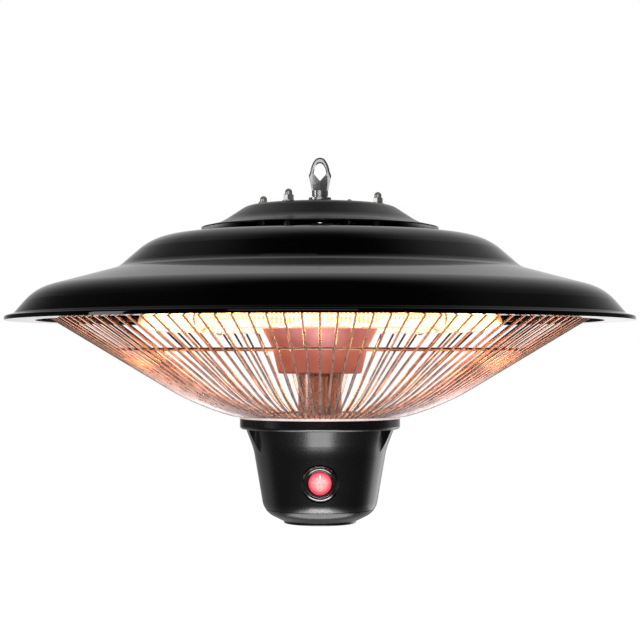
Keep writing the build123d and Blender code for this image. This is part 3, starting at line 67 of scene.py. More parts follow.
def node(owner, kind, sockets, **settings):
    """Adds a node with its settings. Each socket takes a value or the output of another node."""
    made = owner.node_tree.nodes.new(kind)
    for name, value in settings.items():
        setattr(made, name, value)
    for socket, value in sockets.items():
        if isinstance(value, bpy.types.NodeSocket):
            owner.node_tree.links.new(value, made.inputs[socket])
        else:
            made.inputs[socket].default_value = value
    return made


def dress(material, *names):
    """Gives a material to CAD nodes."""
    for name in names:
        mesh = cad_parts[name].data
        mesh.materials.clear()
        mesh.materials.append(material)


plated_forging = empty_material("zinc_plated_forged_steel")
place = node(plated_forging, "ShaderNodeTexCoord", {}).outputs["Object"]
dimples = node(plated_forging, "ShaderNodeTexNoise", {"Vector": place, "Scale": per_mm(2.2), "Detail": 3.0})
bloom = node(plated_forging, "ShaderNodeTexNoise", {"Vector": place, "Scale": per_mm(0.9), "Detail": 2.0})
plating_tone = node(plated_forging, "ShaderNodeMix", {
    "Factor": dimples.outputs["Fac"], 6: colour("a4a4a6"), 7: colour("dededf")}, data_type="RGBA")
plating_gloss = node(plated_forging, "ShaderNodeMapRange", {
    "Value": bloom.outputs["Fac"], "From Min": 0.3, "From Max": 0.7, "To Min": 0.20, "To Max": 0.32})
dimple_bump = node(plated_forging, "ShaderNodeBump", {"Height": dimples.outputs["Fac"], "Distance": 0.00003})
surface = node(plated_forging, "ShaderNodeBsdfPrincipled", {
    "Base Color": plating_tone.outputs[2], "Roughness": plating_gloss.outputs["Result"],
    "Normal": dimple_bump.outputs["Normal"], "Metallic": 0.86})
node(plated_forging, "ShaderNodeOutputMaterial", {"Surface": surface.outputs["BSDF"]})
dress(plated_forging, "hanging_eye", "eye_washer")

# Seal under the eye and grommet for the supply cable: moulded EPDM rubber. Matt black, with a greyish bloom and
# the faint pebbling of its mould.
epdm = empty_material("moulded_epdm_rubber")
place = node(epdm, "ShaderNodeTexCoord", {}).outputs["Object"]
bloom = node(epdm, "ShaderNodeTexNoise", {"Vector": place, "Scale": per_mm(1.4), "Detail": 4.0})
pebbles = node(epdm, "ShaderNodeTexVoronoi", {"Vector": place, "Scale": per_mm(0.5)})
rubber_tone = node(epdm, "ShaderNodeMix", {
    "Factor": bloom.outputs["Fac"], 6: colour("101011"), 7: colour("222223")}, data_type="RGBA")
pebble_bump = node(epdm, "ShaderNodeBump", {"Height": pebbles.outputs["Distance"], "Distance": 0.00003})
surface = node(epdm, "ShaderNodeBsdfPrincipled", {
    "Base Color": rubber_tone.outputs[2], "Normal": pebble_bump.outputs["Normal"], "Roughness": 0.75})
node(epdm, "ShaderNodeOutputMaterial", {"Surface": surface.outputs["BSDF"]})
dress(epdm, "eye_seal", "cable_grommet")

# Raised cover: pressed steel sheet on four studs above the shade, in black stove enamel. It has less gloss than
# the shade, so it mirrors its surroundings as soft grey bands.
satin_enamel = empty_material("satin_black_stove_enamel")
place = node(satin_enamel, "ShaderNodeTexCoord", {}).outputs["Object"]
flow = node(satin_enamel, "ShaderNodeTexNoise", {"Vector": place, "Scale": per_mm(9.0), "Detail": 2.0})
orange_peel = node(satin_enamel, "ShaderNodeTexNoise", {"Vector": place, "Scale": per_mm(1.6), "Detail": 1.0})
enamel_tone = node(satin_enamel, "ShaderNodeMix", {
    "Factor": flow.outputs["Fac"], 6: colour("141313"), 7: colour("1c1a1b")}, data_type="RGBA")
enamel_gloss = node(satin_enamel, "ShaderNodeMapRange", {
    "Value": flow.outputs["Fac"], "From Min": 0.3, "From Max": 0.7, "To Min": 0.20, "To Max": 0.26})
peel_bump = node(satin_enamel, "ShaderNodeBump", {"Height": orange_peel.outputs["Fac"], "Distance": 0.000012})
surface = node(satin_enamel, "ShaderNodeBsdfPrincipled", {
    "Base Color": enamel_tone.outputs[2], "Roughness": enamel_gloss.outputs["Result"],
    "Normal": peel_bump.outputs["Normal"], "IOR": 1.5})
node(satin_enamel, "ShaderNodeOutputMaterial", {"Surface": surface.outputs["BSDF"]})
dress(satin_enamel, "top_cover")

# Acorn nuts and their washers: turned brass, nickel plated. Bright, with a slightly warm grey and the fine
# turning marks of the bar lathe.
nickel = empty_material("nickel_plated_brass")
place = node(nickel, "ShaderNodeTexCoord", {}).outputs["Object"]
level = node(nickel, "ShaderNodeMapping", {"Vector": place, "Scale": (0.1, 0.1, 1.0)})
turning = node(nickel, "ShaderNodeTexNoise", {"Vector": level.outputs["Vector"], "Scale": per_mm(0.5)})
nickel_tone = node(nickel, "ShaderNodeMix", {
    "Factor": turning.outputs["Fac"], 6: colour("9a9894"), 7: colour("d6d3ce")}, data_type="RGBA")
nickel_gloss = node(nickel, "ShaderNodeMapRange", {
    "Value": turning.outputs["Fac"], "From Min": 0.3, "From Max": 0.7, "To Min": 0.14, "To Max": 0.26})
turning_bump = node(nickel, "ShaderNodeBump", {"Height": turning.outputs["Fac"], "Distance": 0.00002})
surface = node(nickel, "ShaderNodeBsdfPrincipled", {
    "Base Color": nickel_tone.outputs[2], "Roughness": nickel_gloss.outputs["Result"],
    "Normal": turning_bump.outputs["Normal"], "Metallic": 0.7})
node(nickel, "ShaderNodeOutputMaterial", {"Surface": surface.outputs["BSDF"]})
dress(nickel, "acorn_nuts", "acorn_washers")

# Plates, studs, spacers, straps and screws inside: mild steel with clear zinc plating. Dull silver, with the
# blotches and small crystals that barrel plating leaves.
zinc = empty_material("clear_zinc_plated_steel")
place = node(zinc, "ShaderNodeTexCoord", {}).outputs["Object"]
blotches = node(zinc, "ShaderNodeTexNoise", {"Vector": place, "Scale": per_mm(6.0), "Detail": 4.0})
crystals = node(zinc, "ShaderNodeTexVoronoi", {"Vector": place, "Scale": per_mm(0.9)})
zinc_tone = node(zinc, "ShaderNodeMix", {
    "Factor": blotches.outputs["Fac"], 6: colour("83868a"), 7: colour("b6b8ba")}, data_type="RGBA")
zinc_gloss = node(zinc, "ShaderNodeMapRange", {
    "Value": blotches.outputs["Fac"], "From Min": 0.3, "From Max": 0.7, "To Min": 0.30, "To Max": 0.45})
crystal_bump = node(zinc, "ShaderNodeBump", {"Height": crystals.outputs["Distance"], "Distance": 0.00001})
surface = node(zinc, "ShaderNodeBsdfPrincipled", {
    "Base Color": zinc_tone.outputs[2], "Roughness": zinc_gloss.outputs["Result"],
    "Normal": crystal_bump.outputs["Normal"], "Metallic": 1.0})
node(zinc, "ShaderNodeOutputMaterial", {"Surface": surface.outputs["BSDF"]})
dress(
    zinc, "hanger_plate", "tie_studs", "cover_spacers", "reflector_spacers", "stud_nuts",
    "support_plate", "terminal_screws", "clamp_brackets", "tube_strap", "tube_clips", "column_nut",
    "housing_screws", "clamp_screws", "cap_screws",
)

# Terminal block and the end caps of the quartz tube: steatite ceramic, pressed and fired without glaze. Off-white
# and slightly chalky, with a sandy skin.
steatite = empty_material("unglazed_steatite")
place = node(steatite, "ShaderNodeTexCoord", {}).outputs["Object"]
firing = node(steatite, "ShaderNodeTexNoise", {"Vector": place, "Scale": per_mm(3.5), "Detail": 3.0})
sand = node(steatite, "ShaderNodeTexNoise", {"Vector": place, "Scale": per_mm(0.35), "Detail": 1.0})
steatite_tone = node(steatite, "ShaderNodeMix", {
    "Factor": firing.outputs["Fac"], 6: colour("d2cbbb"), 7: colour("ece7dc")}, data_type="RGBA")
sand_bump = node(steatite, "ShaderNodeBump", {"Height": sand.outputs["Fac"], "Distance": 0.00003})
surface = node(steatite, "ShaderNodeBsdfPrincipled", {
    "Base Color": steatite_tone.outputs[2], "Normal": sand_bump.outputs["Normal"], "Roughness": 0.62})
node(steatite, "ShaderNodeOutputMaterial", {"Surface": surface.outputs["BSDF"]})
dress(steatite, "terminal_block", "tube_end_caps")

# Inner wires: stranded copper in a sleeve of braided glass fibre with silicone. Cream, and the braid shows as
# rows of small bumps, with painted shade darkening the creases between them.
glass_sleeve = empty_material("braided_glass_fibre_sleeve")
place = node(glass_sleeve, "ShaderNodeTexCoord", {}).outputs["Object"]
braid = node(glass_sleeve, "ShaderNodeTexVoronoi", {"Vector": place, "Scale": per_mm(0.9)})
# Darker between the bumps: painted shade in the braid's creases.
sleeve_tone_with_painted_creases = node(glass_sleeve, "ShaderNodeMix", {
    "Factor": braid.outputs["Distance"], 6: colour("e4dfd2"), 7: colour("b5ac98")}, data_type="RGBA")
braid_bump = node(glass_sleeve, "ShaderNodeBump", {
    "Height": braid.outputs["Distance"], "Distance": 0.00008}, invert=True)
surface = node(glass_sleeve, "ShaderNodeBsdfPrincipled", {
    "Base Color": sleeve_tone_with_painted_creases.outputs[2], "Normal": braid_bump.outputs["Normal"], "Roughness": 0.7})
node(glass_sleeve, "ShaderNodeOutputMaterial", {"Surface": surface.outputs["BSDF"]})
dress(glass_sleeve, "supply_leads", "heater_leads")

# Shade and its clamp ring: spun steel in black gloss enamel. Deep and wet-looking, with only a trace of orange
# peel, so it mirrors the room sharply at its bends and rim.
gloss_enamel = empty_material("gloss_black_stove_enamel")
place = node(gloss_enamel, "ShaderNodeTexCoord", {}).outputs["Object"]
flow = node(gloss_enamel, "ShaderNodeTexNoise", {"Vector": place, "Scale": per_mm(30.0), "Detail": 2.0})
orange_peel = node(gloss_enamel, "ShaderNodeTexNoise", {"Vector": place, "Scale": per_mm(3.0), "Detail": 1.0})
shade_tone = node(gloss_enamel, "ShaderNodeMix", {
    "Factor": flow.outputs["Fac"], 6: colour("010101"), 7: colour("040304")}, data_type="RGBA")
shade_gloss = node(gloss_enamel, "ShaderNodeMapRange", {
    "Value": flow.outputs["Fac"], "From Min": 0.3, "From Max": 0.7, "To Min": 0.03, "To Max": 0.06})
peel_bump = node(gloss_enamel, "ShaderNodeBump", {"Height": orange_peel.outputs["Fac"], "Distance": 0.000003})
surface = node(gloss_enamel, "ShaderNodeBsdfPrincipled", {
    "Base Color": shade_tone.outputs[2], "Roughness": shade_gloss.outputs["Result"],
    "Normal": peel_bump.outputs["Normal"], "IOR": 1.5})
node(gloss_enamel, "ShaderNodeOutputMaterial", {"Surface": surface.outputs["BSDF"]})
dress(gloss_enamel, "shade", "clamp_ring")

# Centre column: drawn stainless tube, polished. Fine draw lines run down it and stretch every reflection
# lengthways. Its pinkish tone is painted glow: the element's warm light put into its colour.
stainless = empty_material("polished_stainless_tube")
place = node(stainless, "ShaderNodeTexCoord", {}).outputs["Object"]
lengthways = node(stainless, "ShaderNodeMapping", {"Vector": place, "Scale": (1.0, 1.0, 0.02)})
draw_lines = node(stainless, "ShaderNodeTexNoise", {
    "Vector": lengthways.outputs["Vector"], "Scale": per_mm(1.6), "Detail": 3.0})
# Pinkish tone: painted glow of the element.
stainless_tone_with_painted_glow = node(stainless, "ShaderNodeMix", {
    "Factor": draw_lines.outputs["Fac"], 6: colour("bca4a0"), 7: colour("f0e2e0")}, data_type="RGBA")
stainless_gloss = node(stainless, "ShaderNodeMapRange", {
    "Value": draw_lines.outputs["Fac"], "From Min": 0.3, "From Max": 0.7, "To Min": 0.10, "To Max": 0.22})
draw_bump = node(stainless, "ShaderNodeBump", {"Height": draw_lines.outputs["Fac"], "Distance": 0.00003})
surface = node(stainless, "ShaderNodeBsdfPrincipled", {
    "Base Color": stainless_tone_with_painted_glow.outputs[2], "Roughness": stainless_gloss.outputs["Result"],
    "Normal": draw_bump.outputs["Normal"], "Metallic": 1.0})
node(stainless, "ShaderNodeOutputMaterial", {"Surface": surface.outputs["BSDF"]})
dress(stainless, "centre_column")

# Reflector and its rivets: bright rolled aluminium sheet, spun to a dish. Nearly white, with fine rings round
# the axis from the spinning tool.
bright_aluminium = empty_material("bright_rolled_aluminium")
place = node(bright_aluminium, "ShaderNodeTexCoord", {}).outputs["Object"]
flat = node(bright_aluminium, "ShaderNodeVectorMath", {0: place, 1: (1.0, 1.0, 0.0)}, operation="MULTIPLY")
reach = node(bright_aluminium, "ShaderNodeVectorMath", {0: flat.outputs["Vector"]}, operation="LENGTH")
rings = node(bright_aluminium, "ShaderNodeTexNoise", {
    "W": reach.outputs["Value"], "Scale": per_mm(1.2)}, noise_dimensions="1D")
aluminium_tone = node(bright_aluminium, "ShaderNodeMix", {
    "Factor": rings.outputs["Fac"], 6: colour("dededc"), 7: colour("f4f4f2")}, data_type="RGBA")
ring_bump = node(bright_aluminium, "ShaderNodeBump", {"Height": rings.outputs["Fac"], "Distance": 0.00001})
surface = node(bright_aluminium, "ShaderNodeBsdfPrincipled", {
    "Base Color": aluminium_tone.outputs[2], "Normal": ring_bump.outputs["Normal"],
    "Metallic": 1.0, "Roughness": 0.18})
node(bright_aluminium, "ShaderNodeOutputMaterial", {"Surface": surface.outputs["BSDF"]})
dress(bright_aluminium, "reflector", "cup_rivets", "strap_rivets")

# Cup under the reflector: drawn stainless sheet, with faint rings from the draw. Its coppery red in soft clouds is
# painted glow: the orange light of the element beside it, put into its colour.
painted_glow_cup = empty_material("stainless_with_painted_glow")
place = node(painted_glow_cup, "ShaderNodeTexCoord", {}).outputs["Object"]
flat = node(painted_glow_cup, "ShaderNodeVectorMath", {0: place, 1: (1.0, 1.0, 0.0)}, operation="MULTIPLY")
reach = node(painted_glow_cup, "ShaderNodeVectorMath", {0: flat.outputs["Vector"]}, operation="LENGTH")
rings = node(painted_glow_cup, "ShaderNodeTexNoise", {
    "W": reach.outputs["Value"], "Scale": per_mm(2.0)}, noise_dimensions="1D")
# Coppery red in soft clouds: the element's glow, painted in.
painted_glow_clouds = node(painted_glow_cup, "ShaderNodeTexNoise", {"Vector": place, "Scale": per_mm(16.0), "Detail": 2.0})
tint = node(painted_glow_cup, "ShaderNodeMix", {
    "Factor": painted_glow_clouds.outputs["Fac"], 6: colour("8a5654"), 7: colour("b08a8c")}, data_type="RGBA")
ring_bump = node(painted_glow_cup, "ShaderNodeBump", {"Height": rings.outputs["Fac"], "Distance": 0.00003})
surface = node(painted_glow_cup, "ShaderNodeBsdfPrincipled", {
    "Base Color": tint.outputs[2], "Normal": ring_bump.outputs["Normal"], "Metallic": 0.85, "Roughness": 0.62})
node(painted_glow_cup, "ShaderNodeOutputMaterial", {"Surface": surface.outputs["BSDF"]})
dress(painted_glow_cup, "reflector_cup")

# Quartz tube of the element: fused silica, drawn clear, bent to a ring and closed by its ceramic caps. Clear
# glass with the slow waviness of drawn tube, which scatters a little of the filament's light.
quartz = empty_material("drawn_quartz_glass")
place = node(quartz, "ShaderNodeTexCoord", {}).outputs["Object"]
waviness = node(quartz, "ShaderNodeTexNoise", {"Vector": place, "Scale": per_mm(14.0), "Detail": 1.0})
quartz_tone = node(quartz, "ShaderNodeMix", {
    "Factor": waviness.outputs["Fac"], 6: colour("fff4ea"), 7: colour("ffffff")}, data_type="RGBA")
wave_bump = node(quartz, "ShaderNodeBump", {"Height": waviness.outputs["Fac"], "Distance": 0.00004})
surface = node(quartz, "ShaderNodeBsdfPrincipled", {
    "Base Color": quartz_tone.outputs[2], "Normal": wave_bump.outputs["Normal"],
    "Transmission Weight": 1.0, "Roughness": 0.02, "IOR": 1.46,
    "Emission Color": colour("ffb47c"), "Emission Strength": 0.3})
node(quartz, "ShaderNodeOutputMaterial", {"Surface": surface.outputs["BSDF"]})
quartz.cycles.emission_sampling = "NONE"
dress(quartz, "quartz_tube")

# Filament: iron-chromium wire, wound to a long fine coil that lies on the bottom of the tube and glows from
# yellow-white to orange. It is one wire, wound finer than the plain coil that it stands for.
coil_low, coil_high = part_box("heating_coil")
wound_radius = (coil_high.z - coil_low.z) / 2
ring_radius = coil_high.x - wound_radius
coil_height = (coil_high.z + coil_low.z) / 2
filament_wire = 0.00055
filament_curls = 250
filament_arc = radians(335)
filament_start = radians(102.5)
points_per_curl = 14
curl_radius = wound_radius - filament_wire / 2
filament_line = bpy.data.curves.new("filament", "CURVE")
filament_line.dimensions = "3D"
filament_line.bevel_depth = filament_wire / 2
filament_line.bevel_resolution = 1
spline = filament_line.splines.new("POLY")
steps = filament_curls * points_per_curl + 1
spline.points.add(steps - 1)
for step, point in enumerate(spline.points):
    share = step / (steps - 1)
    bearing = filament_start + filament_arc * share
    turn = 2 * pi * filament_curls * share
    reach = ring_radius + curl_radius * cos(turn)
    point.co = (reach * cos(bearing), reach * sin(bearing), coil_height + curl_radius * sin(turn), 1.0)
filament_curve = bpy.data.objects.new("filament_curve", filament_line)
bpy.context.scene.collection.objects.link(filament_curve)
bpy.context.view_layer.update()
filament_mesh = bpy.data.meshes.new_from_object(
    filament_curve.evaluated_get(bpy.context.evaluated_depsgraph_get()))
bpy.data.objects.remove(filament_curve)
filament = bpy.data.objects.new("filament", filament_mesh)
bpy.context.scene.collection.objects.link(filament)
hot_wire = empty_material("glowing_resistance_wire")
place = node(hot_wire, "ShaderNodeTexCoord", {}).outputs["Object"]
heat = node(hot_wire, "ShaderNodeTexNoise", {"Vector": place, "Scale": per_mm(9.0), "Detail": 2.0})
glow_tone = node(hot_wire, "ShaderNodeMix", {
    "Factor": heat.outputs["Fac"], 6: colour("ffaa58"), 7: colour("ffd694")}, data_type="RGBA")
surface = node(hot_wire, "ShaderNodeBsdfPrincipled", {
    "Base Color": colour("6b3a12"), "Roughness": 0.5, "Emission Color": glow_tone.outputs[2],
    "Emission Strength": 6.0})
node(hot_wire, "ShaderNodeOutputMaterial", {"Surface": surface.outputs["BSDF"]})
hot_wire.cycles.emission_sampling = "NONE"
filament.data.materials.append(hot_wire)
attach(filament, "heater")
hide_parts("heating_coil")

# Thermal cut-out on the back of the reflector: a phenolic moulding, brown-black with pale filler specks.
phenolic = empty_material("moulded_phenolic")
place = node(phenolic, "ShaderNodeTexCoord", {}).outputs["Object"]
specks = node(phenolic, "ShaderNodeTexNoise", {"Vector": place, "Scale": per_mm(0.7), "Detail": 2.0})
phenolic_tone = node(phenolic, "ShaderNodeMix", {
    "Factor": specks.outputs["Fac"], 6: colour("120d0b"), 7: colour("2c211b")}, data_type="RGBA")
speck_bump = node(phenolic, "ShaderNodeBump", {"Height": specks.outputs["Fac"], "Distance": 0.00001})
surface = node(phenolic, "ShaderNodeBsdfPrincipled", {
    "Base Color": phenolic_tone.outputs[2], "Normal": speck_bump.outputs["Normal"], "Roughness": 0.4})
node(phenolic, "ShaderNodeOutputMaterial", {"Surface": surface.outputs["BSDF"]})
dress(phenolic, "thermal_cutout")

# Wire guard and the plate under its hub: drawn steel wires, bent, spot-welded to their rings and nickel plated.
# The plating is grey and a little dull, and weld heat has darkened it in patches. The upper half of the wires,
# near the element, is painted a warm straw brown: painted glow of the element, put into their colour.
guard_plating = empty_material("nickel_plated_drawn_wire")
place = node(guard_plating, "ShaderNodeTexCoord", {}).outputs["Object"]
weld_heat = node(guard_plating, "ShaderNodeTexNoise", {"Vector": place, "Scale": per_mm(8.0), "Detail": 3.0})
wire_skin = node(guard_plating, "ShaderNodeTexNoise", {"Vector": place, "Scale": per_mm(0.8), "Detail": 1.0})
bare_tone = node(guard_plating, "ShaderNodeMix", {
    "Factor": weld_heat.outputs["Fac"], 6: colour("544a4a"), 7: colour("b0a3a3")}, data_type="RGBA")
# Painted glow: the wires are painted warmer from this height up, towards the element.
painted_glow_low = -0.165
painted_glow_high = -0.130
height = node(guard_plating, "ShaderNodeSeparateXYZ", {"Vector": place})
painted_glow_by_height = node(guard_plating, "ShaderNodeMapRange", {
    "Value": height.outputs["Z"], "From Min": painted_glow_low, "From Max": painted_glow_high})
painted_glow_tint = node(guard_plating, "ShaderNodeMix", {
    "Factor": painted_glow_by_height.outputs["Result"], 6: colour("ffffff"), 7: colour("dcb69c")}, data_type="RGBA")
guard_tone = node(guard_plating, "ShaderNodeMix", {
    "Factor": 1.0, 6: bare_tone.outputs[2], 7: painted_glow_tint.outputs[2]}, data_type="RGBA", blend_type="MULTIPLY")
guard_gloss = node(guard_plating, "ShaderNodeMapRange", {
    "Value": weld_heat.outputs["Fac"], "From Min": 0.3, "From Max": 0.7, "To Min": 0.22, "To Max": 0.34})
skin_bump = node(guard_plating, "ShaderNodeBump", {"Height": wire_skin.outputs["Fac"], "Distance": 0.00002})
surface = node(guard_plating, "ShaderNodeBsdfPrincipled", {
    "Base Color": guard_tone.outputs[2], "Roughness": guard_gloss.outputs["Result"],
    "Normal": skin_bump.outputs["Normal"], "Metallic": 0.9})
node(guard_plating, "ShaderNodeOutputMaterial", {"Surface": surface.outputs["BSDF"]})
dress(guard_plating, "guard_spokes", "guard_top_ring", "guard_mid_ring", "hub_plate")

# Hub ring, which holds the feet of the wires: blanked steel sheet, zinc plated and left matt. Its near-white tone
# is partly a painted highlight, so that its edge keeps a pale even line under the wires.
matt_zinc = empty_material("matt_zinc_plated_sheet")
place = node(matt_zinc, "ShaderNodeTexCoord", {}).outputs["Object"]
sheet_bloom = node(matt_zinc, "ShaderNodeTexNoise", {"Vector": place, "Scale": per_mm(5.0), "Detail": 3.0})
# Near-white tone: partly a painted highlight along the ring's edge.
sheet_tone_and_painted_highlight = node(matt_zinc, "ShaderNodeMix", {
    "Factor": sheet_bloom.outputs["Fac"], 6: colour("c9c2c2"), 7: colour("f0ecec")}, data_type="RGBA")
surface = node(matt_zinc, "ShaderNodeBsdfPrincipled", {
    "Base Color": sheet_tone_and_painted_highlight.outputs[2], "Metallic": 0.35, "Roughness": 0.45})
node(matt_zinc, "ShaderNodeOutputMaterial", {"Surface": surface.outputs["BSDF"]})
dress(matt_zinc, "guard_hub_ring")

# Hub flange, lower housing, bottom cap and base disc: injection-moulded ABS in black. The spark-eroded tool gives
# a fine grain that spreads the highlights to a satin sheen; it is drawn coarser than the real 0.1 mm to show.
satin_abs = empty_material("spark_textured_black_abs")
place = node(satin_abs, "ShaderNodeTexCoord", {}).outputs["Object"]
spark_grain = node(satin_abs, "ShaderNodeTexNoise", {"Vector": place, "Scale": per_mm(0.5), "Detail": 2.0})
mould_flow = node(satin_abs, "ShaderNodeTexNoise", {"Vector": place, "Scale": per_mm(20.0), "Detail": 2.0})
abs_tone = node(satin_abs, "ShaderNodeMix", {
    "Factor": mould_flow.outputs["Fac"], 6: colour("050506"), 7: colour("0a0a0b")}, data_type="RGBA")
abs_gloss = node(satin_abs, "ShaderNodeMapRange", {
    "Value": spark_grain.outputs["Fac"], "From Min": 0.3, "From Max": 0.7, "To Min": 0.22, "To Max": 0.29})
grain_bump = node(satin_abs, "ShaderNodeBump", {"Height": spark_grain.outputs["Fac"], "Distance": 0.000008})
surface = node(satin_abs, "ShaderNodeBsdfPrincipled", {
    "Base Color": abs_tone.outputs[2], "Roughness": abs_gloss.outputs["Result"],
    "Normal": grain_bump.outputs["Normal"], "IOR": 1.54})
node(satin_abs, "ShaderNodeOutputMaterial", {"Surface": surface.outputs["BSDF"]})
dress(satin_abs, "hub_flange", "lower_housing", "bottom_cap", "base_disc")

# Switch body and trim ring: gloss black polycarbonate, snapped into the housing. A thin ring added here crowns the
# front of the bezel, so it keeps a bright crescent below and a thin one above.
polycarbonate = empty_material("gloss_black_polycarbonate")
place = node(polycarbonate, "ShaderNodeTexCoord", {}).outputs["Object"]
handling = node(polycarbonate, "ShaderNodeTexNoise", {"Vector": place, "Scale": per_mm(3.0), "Detail": 3.0})
polycarbonate_tone = node(polycarbonate, "ShaderNodeMix", {
    "Factor": handling.outputs["Fac"], 6: colour("090909"), 7: colour("121214")}, data_type="RGBA")
polycarbonate_gloss = node(polycarbonate, "ShaderNodeMapRange", {
    "Value": handling.outputs["Fac"], "From Min": 0.3, "From Max": 0.7, "To Min": 0.10, "To Max": 0.18})
surface = node(polycarbonate, "ShaderNodeBsdfPrincipled", {
    "Base Color": polycarbonate_tone.outputs[2], "Roughness": polycarbonate_gloss.outputs["Result"],
    "IOR": 1.58, "Specular IOR Level": 1.0})
node(polycarbonate, "ShaderNodeOutputMaterial", {"Surface": surface.outputs["BSDF"]})
dress(polycarbonate, "switch_body", "switch_trim_ring")
switch_face = Vector((0.0, -0.0417758, -0.2102))
face_out = Vector((0.0, -0.985567, -0.169286))
face_up = Vector((0.0, -0.169286, 0.985567))
bezel_drop = 0.0004
bezel_crown = 0.0006
bezel_middle = 0.0104
bezel_half_width = 0.0011
bezel_steps = 96
crown_steps = 12
bezel_points = []
for step in range(bezel_steps):
    turn = 2 * pi * step / bezel_steps
    outwards = Vector((sin(turn), 0.0, 0.0)) + face_up * cos(turn)
    for rise in range(crown_steps + 1):
        bend = pi * rise / crown_steps
        bezel_points.append(
            switch_face + outwards * (bezel_middle + bezel_half_width * cos(bend))
            + face_out * (bezel_crown * sin(bend) - bezel_drop))
row = crown_steps + 1
bezel_faces = [
    (step * row + rise, step * row + (rise + 1) % row, (step + 1) % bezel_steps * row + (rise + 1) % row,
     (step + 1) % bezel_steps * row + rise)
    for step in range(bezel_steps) for rise in range(row)]
bezel_mesh = bpy.data.meshes.new("bezel_crown")
bezel_mesh.from_pydata(bezel_points, [], bezel_faces)
bezel_mesh.shade_smooth()
bezel_mesh.materials.append(polycarbonate)
bezel = bpy.data.objects.new("bezel_crown", bezel_mesh)
bpy.context.scene.collection.objects.link(bezel)
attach(bezel, "heater")

# Contact blades: stamped brass, with the drag lines of the rolling mill.
brass = empty_material("stamped_brass")
place = node(brass, "ShaderNodeTexCoord", {}).outputs["Object"]
rolled = node(brass, "ShaderNodeMapping", {"Vector": place, "Scale": (1.0, 0.05, 1.0)})
drag_lines = node(brass, "ShaderNodeTexNoise", {"Vector": rolled.outputs["Vector"], "Scale": per_mm(0.6)})
brass_tone = node(brass, "ShaderNodeMix", {
    "Factor": drag_lines.outputs["Fac"], 6: colour("a9843c"), 7: colour("d2b26c")}, data_type="RGBA")
surface = node(brass, "ShaderNodeBsdfPrincipled", {
    "Base Color": brass_tone.outputs[2], "Metallic": 1.0, "Roughness": 0.3})
node(brass, "ShaderNodeOutputMaterial", {"Surface": surface.outputs["BSDF"]})
dress(brass, "switch_blades")

# Rocker pin and the nut of the eye: turned steel, blued. Nearly black, with a dull blue cast in patches.
blued = empty_material("blued_turned_steel")
place = node(blued, "ShaderNodeTexCoord", {}).outputs["Object"]
oxide = node(blued, "ShaderNodeTexNoise", {"Vector": place, "Scale": per_mm(1.0), "Detail": 2.0})
oxide_tone = node(blued, "ShaderNodeMix", {
    "Factor": oxide.outputs["Fac"], 6: colour("0c0d10"), 7: colour("1a1c22")}, data_type="RGBA")
surface = node(blued, "ShaderNodeBsdfPrincipled", {
    "Base Color": oxide_tone.outputs[2], "Metallic": 1.0, "Roughness": 0.4})
node(blued, "ShaderNodeOutputMaterial", {"Surface": surface.outputs["BSDF"]})
dress(blued, "rocker_pin", "eye_nut")

# Rocker: moulded in clear red polycarbonate over a neon lamp, with small prisms inside. It is lit, so it is pale
# and sparkling over the lamp and deep red round its edge.
rocker_low, rocker_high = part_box("rocker")
rocker_middle = (rocker_low + rocker_high) / 2
bright_reach = 0.0020
lit_reach = 0.0082
red_lens = empty_material("clear_red_polycarbonate")
place = node(red_lens, "ShaderNodeTexCoord", {}).outputs["Object"]
from_lamp = node(red_lens, "ShaderNodeVectorMath", {0: place, 1: tuple(rocker_middle)}, operation="DISTANCE")
lamp_spread = node(red_lens, "ShaderNodeMapRange", {
    "Value": from_lamp.outputs["Value"], "From Min": bright_reach, "From Max": lit_reach,
    "To Min": 1.0, "To Max": 0.0},
    interpolation_type="SMOOTHSTEP")
prisms = node(red_lens, "ShaderNodeTexVoronoi", {"Vector": place, "Scale": per_mm(1.1)})
prism_shine = node(red_lens, "ShaderNodeMapRange", {
    "Value": prisms.outputs["Distance"], "From Min": 0.1, "From Max": 0.7, "To Min": 1.0, "To Max": 0.55})
sparkle = node(red_lens, "ShaderNodeMath", {
    0: lamp_spread.outputs["Result"], 1: prism_shine.outputs["Result"]}, operation="MULTIPLY")
lens_tone = node(red_lens, "ShaderNodeMix", {
    "Factor": sparkle.outputs["Value"], 6: colour("94102e"), 7: colour("e87078")}, data_type="RGBA")
lens_glow = node(red_lens, "ShaderNodeMix", {
    "Factor": sparkle.outputs["Value"], 6: colour("96082c"), 7: colour("ffd0c0")}, data_type="RGBA")
surface = node(red_lens, "ShaderNodeBsdfPrincipled", {
    "Base Color": lens_tone.outputs[2], "Emission Color": lens_glow.outputs[2], "Roughness": 0.36,
    "IOR": 1.58, "Emission Strength": 0.85})
node(red_lens, "ShaderNodeOutputMaterial", {"Surface": surface.outputs["BSDF"]})
dress(red_lens, "rocker")

# Marks on the rocker: a bar for on and a ring for off, printed in white ink. The ink is thin and a little worn,
# so the red shows through in places.
pivot = Vector((0.0, -0.0397405, -0.20985))
tilt = radians(22)
valley_height = 0.0019
valley = pivot + (face_out * cos(tilt / 2) + face_up * sin(tilt / 2)) * valley_height
lower_out = face_out * cos(tilt) + face_up * sin(tilt)
lower_up = face_up * cos(tilt) - face_out * sin(tilt)
ink_height = 0.00004
bar_half_width = 0.00026
bar_low = 0.0029
bar_high = 0.0059
ring_centre = -0.0034
ring_outer = 0.00120
ring_inner = 0.00100
ring_steps = 48
bar_corners = [(-bar_half_width, bar_low), (bar_half_width, bar_low), (bar_half_width, bar_high),
               (-bar_half_width, bar_high)]
bar_points = [valley + Vector((x, 0, 0)) + face_up * y + face_out * ink_height for x, y in bar_corners]
bar_mesh = bpy.data.meshes.new("on_mark")
bar_mesh.from_pydata(bar_points, [], [(0, 1, 2, 3)])
ring_points = []
